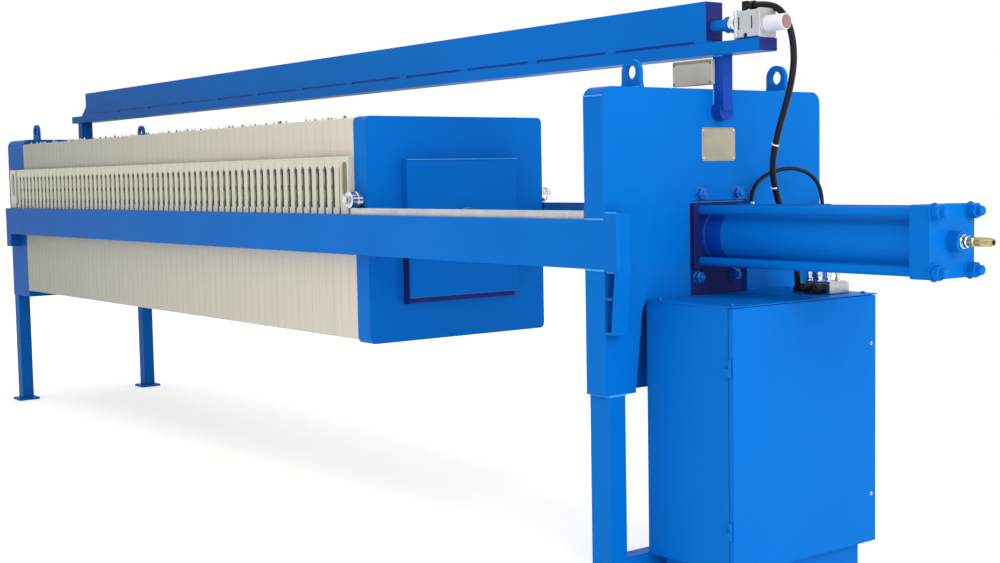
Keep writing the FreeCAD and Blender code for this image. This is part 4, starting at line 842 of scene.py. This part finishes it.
# The two slots are flat dark bars: painted shade where recesses would be.
gear_slots = joined([
    block((142, -42.0, 2022), (147, -39.0, 2068), 0.8), block((204, -42.0, 2022), (209, -39.0, 2068), 0.8),
    turned([(0, 8), (4, 8), (5, 6)], (176, -38.0, 2001), "-y", 16),
])
make_piece("gear_case_slots", gear_slots, black_and_slot_shade)
motor = turned([(5, 24), (7, 28.8), (74, 28.8), (75, 27.8), (77, 27.8), (78, 28.8), (91, 28.8),
                (94.5, 26.5)], MOTOR_PLACE, "x", 48)
make_piece("motor_tube", motor, white_enamel, replaces=["gear_motor"])
make_piece("motor_end", turned([(93, 25), (94.8, 25), (95, 24)], MOTOR_PLACE, "x", 40),
           motor_end_red)
ball_angle = np.linspace(-1.25, 1.25, 15)
ball_profile = np.column_stack([30 * np.sin(ball_angle), 35 * np.cos(ball_angle)])
ball = turned(ball_profile, (90, 0, SHAFT_Z), "x", 40)
make_piece("shaft_ball", ball, chrome_plate)

# %% [markdown]
# The junction box is a shallow moulding with a lid, a seam between them, a dark strip of
# painted shade along the top of the lid's face and four screws.  It hangs beside the post.

# %% Make the junction box
JUNCTION_Z = 1883.0
CASE_MIDDLE_X = -95.0
LID_MIDDLE_X = -92.0
box_case = carried(rounded_rectangle(95.0, 45.0, 5.0, 4), [(0, 3), (3, 0), (36, 0)],
                   (CASE_MIDDLE_X, 10.0, JUNCTION_Z), "-y")
box_lid = carried(rounded_rectangle(104.0, 47.0, 5.0, 4), [(36.6, 1.5), (38, 0), (50, 0), (53, 3)],
                  (LID_MIDDLE_X, 10.0, JUNCTION_Z), "-y")
make_piece("junction_case", joined([box_case, box_lid]), box_enamel, replaces=["junction_box"])
# A dark strip along the top of the lid's face: painted shade.
lid_shade_strip = block((-193.0, -43.3, 1917.0), (9.0, -42.0, 1927.0), 0.5)
make_piece("junction_lid_strip", lid_shade_strip, painted_shade_grey)
box_screw = turned([(-3, 4.4), (0.6, 4.4), (1.0, 3.6)], (0, -43.0, 0), "-y", 14)
box_screw_offsets = [(LID_MIDDLE_X + 94 * side, 0, JUNCTION_Z - 3 + 35 * rise)
                     for side in (-1, 1) for rise in (-1, 1)]
make_piece("junction_screws", repeated(box_screw, box_screw_offsets), bolt_dark)

# %% [markdown]
# ## Nameplate, left bare
#
# A thin metal sheet with rounded corners is screwed to the stand.  It carries no words; a
# pressed border gives it something to catch the light.

# %% Make the bare plate
name_middle = (0.0, 0.5, 1616.0)
name_outline = rounded_rectangle(87.5, 62.0, 9.0, 4)
name_plate = carried(name_outline, [(0, 0), (1.4, 0), (2.0, 0.7), (2.0, 4.5), (1.2, 5.2)], name_middle, "x")
make_piece("bare_nameplate", name_plate, plate_metal)
name_screws = repeated(turned([(0, 4.5), (1.2, 4.3), (2.2, 3.0)], (1.6, 0, 0), "x", 14),
                       [(0, name_middle[1] + 78 * side, name_middle[2] + 52.5 * rise)
                        for side in (-1, 1) for rise in (-1, 1)])
make_piece("nameplate_screws", name_screws, chrome_plate)

# %% [markdown]
# ## Weld beads
#
# Where plates meet they are welded, and the bead shows as a rippled line that catches the
# light.  A bead is a small circle carried along the joint, and its radius swells and shrinks
# a little with every step of the torch.  The beads are coloured a lighter blue as a painted
# highlight, and a few of them stand only for a highlight along an edge.

# %% Run the weld beads


def bead(start, end, radius=4.0, ripple=8.0):
    """Circle carried from start to end; radius times 1 + 0.14 sin, one wave to each ripple of the way."""
    start, end = np.asarray(start, float), np.asarray(end, float)
    length = np.linalg.norm(end - start)
    along = np.linspace(0, length, max(3, int(length / ripple * 3)))
    radii = radius * (1 + 0.14 * np.sin(2 * np.pi * along / ripple))
    radii[[0, -1]] *= 0.4
    return turned(np.column_stack([along, radii]), start, end - start, 8)


near_beads = joined([
    bead((2, -570, 1378), (62, -570, 1378), 3.0), bead((-104, -572, 1355), (-2, -572, 1355)),
    bead((-104, -572, 1175), (-2, -572, 1175)), bead((-104, -572, 1787), (-2, -572, 1787), 3.0),
    bead((-104, -556, 728), (0, -556, 728)), bead((1, -556, 728), (1, -478, 728)),
    bead((3, -566, 1169), (62, -566, 1169), 3.0), bead((1, -508, 955), (1, -508, 1168), 3.5),
    bead((-52, -390, 1820), (-52, -374, 1820), 5.0), bead((-98, -391, 1820), (-6, -391, 1820), 3.5),
    bead((-98, -373, 1820), (-6, -373, 1820), 3.5),
])
middle_beads = joined([
    bead((1, -25, 1738), (1, -25, 1818), 3.5), bead((1, 25, 1738), (1, 25, 1818), 3.5),
    bead((0, -25, 1940), (50, -25, 1940), 3.5), bead((0, 25, 1940), (50, 25, 1940), 3.5),
    bead((-13, -148, 1404), (-13, 148, 1404), 4.0),
])
# The beads take the lighter blue, a painted highlight.
make_piece("weld_beads", joined([near_beads, mirrored(near_beads), middle_beads]), painted_highlight)

# %% [markdown]
# ## The valve block and small fittings
#
# The block on the cabinet takes the hose.  Its ports are hexagons with a round nose, and two
# dark round coils stick out of its side.  A low bolt sits near each corner of the lid.

# %% Make the valve block
LID_TOP_Z = 1060
BLOCK_TOP_Z = 1106.0
valve_block = joined([
    block((222, 210, LID_TOP_Z), (352, 320, BLOCK_TOP_Z - 6), 3.0),
    block((228, 216, BLOCK_TOP_Z - 8), (346, 314, BLOCK_TOP_Z), 2.0),
])
make_piece("valve_block", valve_block, zinc_plate, replaces=["valve_manifold"])
port_fitting = joined([
    nut((0, 0, 0), "z", 11.0, 13.0),
    turned([(12, 8), (20, 8), (22, 9.5), (30, 9.5), (33, 6)], (0, 0, 0), "z", 20),
])
port_places = [(x, y, BLOCK_TOP_Z) for x, y in ((238, 232), (286, 228), (322, 236), (322, 290))]
make_piece("valve_ports", repeated(port_fitting, port_places), chrome_plate)
coil = turned([(0, 15), (3, 17), (38, 17), (41, 15), (44, 9), (50, 9), (51, 7)], (0, 0, 0), "-y", 28)
make_piece("valve_coils", repeated(coil, [(250, 210, 1082), (310, 210, 1082)]), black_and_slot_shade)
LID_BOLTS = [(x, y, LID_TOP_Z) for x in (40, 392) for y in (-345, 345)]
lid_bolt = turned([(-1, 9), (4, 9), (7, 6), (8, 3)], (0, 0, 0), "z", 16)
make_piece("lid_bolts", repeated(lid_bolt, LID_BOLTS), blue_gloss)

# %% [markdown]
# ## Painted shade at the open ends, the boss and the barrel
#
# The housing and the beam of the shifter are open sections, and their inside is in shade.  A
# dark blue plate just inside each mouth, and a strip behind the gap between them, are painted
# shade that keeps it so from every side.  Dark strips below and beside the follower's boss
# are a painted shadow and painted shade, a bead painted light along its top is a painted
# highlight, and a sleeve of painted shade covers the barrel next to its flange.

# %% Make the painted shade at the ends, the boss and the barrel
shaded_ends = joined([
    block((-17.5, -43.0, 2001.0), (-15.5, 43.0, 2139.0), 0.5),
    block((246.0, -46.0, 1943.0), (248.0, 46.0, 1987.0), 0.5),
])
make_piece("shaded_section_ends", shaded_ends, painted_shade_navy)
# A strip in the gap between housing and beam: painted shade.
gap_shade_strip = block((-6030.0, -39.0, 1986.0), (-20.0, 39.0, 2001.0), 1.0)
make_piece("gap_shade_strip", gap_shade_strip, shaded_blue)
# A painted shadow below the boss, and painted shade low on its near side.
boss_painted_shadow = joined([
    block((-1657.0, -316.0, 943.0), (-1644.0, 313.0, 968.5), 1.5),
    block((-1657.0, -316.0, 943.0), (-1611.0, -312.5, 1180.0), 0.8),
])
make_piece("boss_painted_shadow", boss_painted_shadow, painted_shade_navy, "follower")
# Painted shade along the far side of the boss.
make_piece("boss_side_painted_shade", block((-1657.0, 312.5, 968.0), (-1653.0, 322.0, 1594.0), 1.5), shaded_blue,
           "follower")
# A bead in the light blue along the boss's top edge: painted highlight.
make_piece("boss_top_highlight_bead", bead((-1610, -311, 1594), (-1610, 311, 1594), 2.6), painted_highlight,
           "follower")
# A sleeve in the shaded blue on the barrel next to its flange: painted shade.
SLEEVE_PROFILE = [(0, 105.0), (16, 104.6), (18, 101.0), (92, 100.8), (96, 100.2), (96, 99.5), (0, 99.5)]
barrel_shade_sleeve = turned(SLEEVE_PROFILE, (BARREL_X[0], 0, AXIS_Z), "x", 64, hollow=True)
make_piece("barrel_shade_sleeve", barrel_shade_sleeve, shaded_blue)

# %% [markdown]
# ## Cable ties
#
# Two white ties sit on the conduit.  A tie is a flat ring, so its lathe profile is a small
# rectangle that closes on itself, turned about the line of the cord.

# %% Make the cable ties
TIE_HALF_WIDTH = 2.5
TIE_THICKNESS = 1.6


def cable_tie(place, axis, radius):
    """Lathe ring 5 mm wide and 1.6 mm thick about the cord, with its lock at one side."""
    profile = [
        (-TIE_HALF_WIDTH, radius), (-TIE_HALF_WIDTH, radius + TIE_THICKNESS),
        (TIE_HALF_WIDTH, radius + TIE_THICKNESS), (TIE_HALF_WIDTH, radius),
    ]
    ring = turned(profile, place, axis, 28, hollow=True)
    across = directions(axis)[0]
    lock = turned([(radius - 1, 4.0), (radius + 5, 4.0)], place, across, 4, phase=np.pi / 4)
    return joined([ring, lock])


TIES = [((184.5, 106.5, 1610.0), (-122, 16, -270), 12.4), ((149.5, 137.5, 1452.0), (-20, 30, -135), 12.4)]
make_piece("cable_ties", joined([cable_tie(*row) for row in TIES]), tie_white)

# %% [markdown]
# ## Locks of the door
#
# Two quarter-turn locks close the cabinet door.  Each is a flat round rose with a slotted
# core; the slot is only a dark bar laid across it, painted shade in place of a cut.

# %% Make the locks
lock_rose = joined([
    turned([(0, 8.0), (2.2, 8.0), (3.2, 7.2)], (0, 0, 0), "x", 28),
    turned([(3.0, 5.0), (5.4, 5.0), (6.0, 4.4)], (0, 0, 0), "x", 20),
])
lock_places = [(424, 350, 318), (424, 350, 877)]
make_piece("door_locks", repeated(lock_rose, lock_places), zinc_plate, "door", ["door_latches"])
lock_slot = block((5.9, -3.6, -0.8), (6.4, 3.6, 0.8), 0.15)
make_piece("door_lock_slots", repeated(lock_slot, lock_places), black_and_slot_shade, "door")

# %% [markdown]
# ## Light and floor
#
# A machine like this shows best in even, nearly shadowless light on white.  The world gives
# most of it.  One large soft light above and to the right of the camera models the forms, a
# weaker one hangs over the press, and a pale floor carries the weight.

# %% Name the light and the floor
WORLD_WHITE = (1.0, 1.0, 1.0, 1.0)
FLOOR_SIZE = 120
FLOOR_WHITE = (0.98, 0.98, 0.98, 1)
FLOOR_GLOW = 0.2
print("floor", FLOOR_SIZE, "m wide")

# %% Set the light and the floor
world = bpy.data.worlds.new("white_studio")
bpy.context.scene.world = world
world.use_nodes = True
world.node_tree.nodes["Background"].inputs["Color"].default_value = WORLD_WHITE
world.node_tree.nodes["Background"].inputs["Strength"].default_value = 1.0
bpy.context.scene.view_settings.view_transform = "Standard"


def soft_light(name, place, target, size, watts):
    """A square area light at place, turned to face target."""
    data = bpy.data.lights.new(name, "AREA")
    data.shape = "SQUARE"
    data.size = size
    data.energy = watts
    light = bpy.data.objects.new(name, data)
    bpy.context.scene.collection.objects.link(light)
    light.location = place
    light.rotation_euler = (Vector(target) - Vector(place)).to_track_quat("-Z", "Y").to_euler()
    return light


soft_light("key_light", (10.0, -0.8, 4.2), target=(1.5, 0.0, 1.2), size=4.0, watts=300)
soft_light("top_light", (0.0, -1.5, 7.0), target=(0.0, 0.0, 1.2), size=5.0, watts=70)

bpy.ops.mesh.primitive_plane_add(size=FLOOR_SIZE, location=(0, 0, 0))
floor = bpy.context.object
floor.name = "studio_floor"
floor_material, floor_shader, floor_place = new_material("studio_floor_white")
floor_grain = noise(floor_material, floor_place, 40.0, 2.0)
floor_rough = between(floor_material, floor_grain, 0.3, 0.7, 0.9, 0.97)
floor_material.node_tree.links.new(floor_rough, floor_shader.inputs["Roughness"])
floor_shader.inputs["Base Color"].default_value = FLOOR_WHITE
floor_shader.inputs["Specular IOR Level"].default_value = 0.0
floor_shader.inputs["Emission Color"].default_value = WORLD_WHITE
floor_shader.inputs["Emission Strength"].default_value = FLOOR_GLOW
floor.data.materials.append(floor_material)
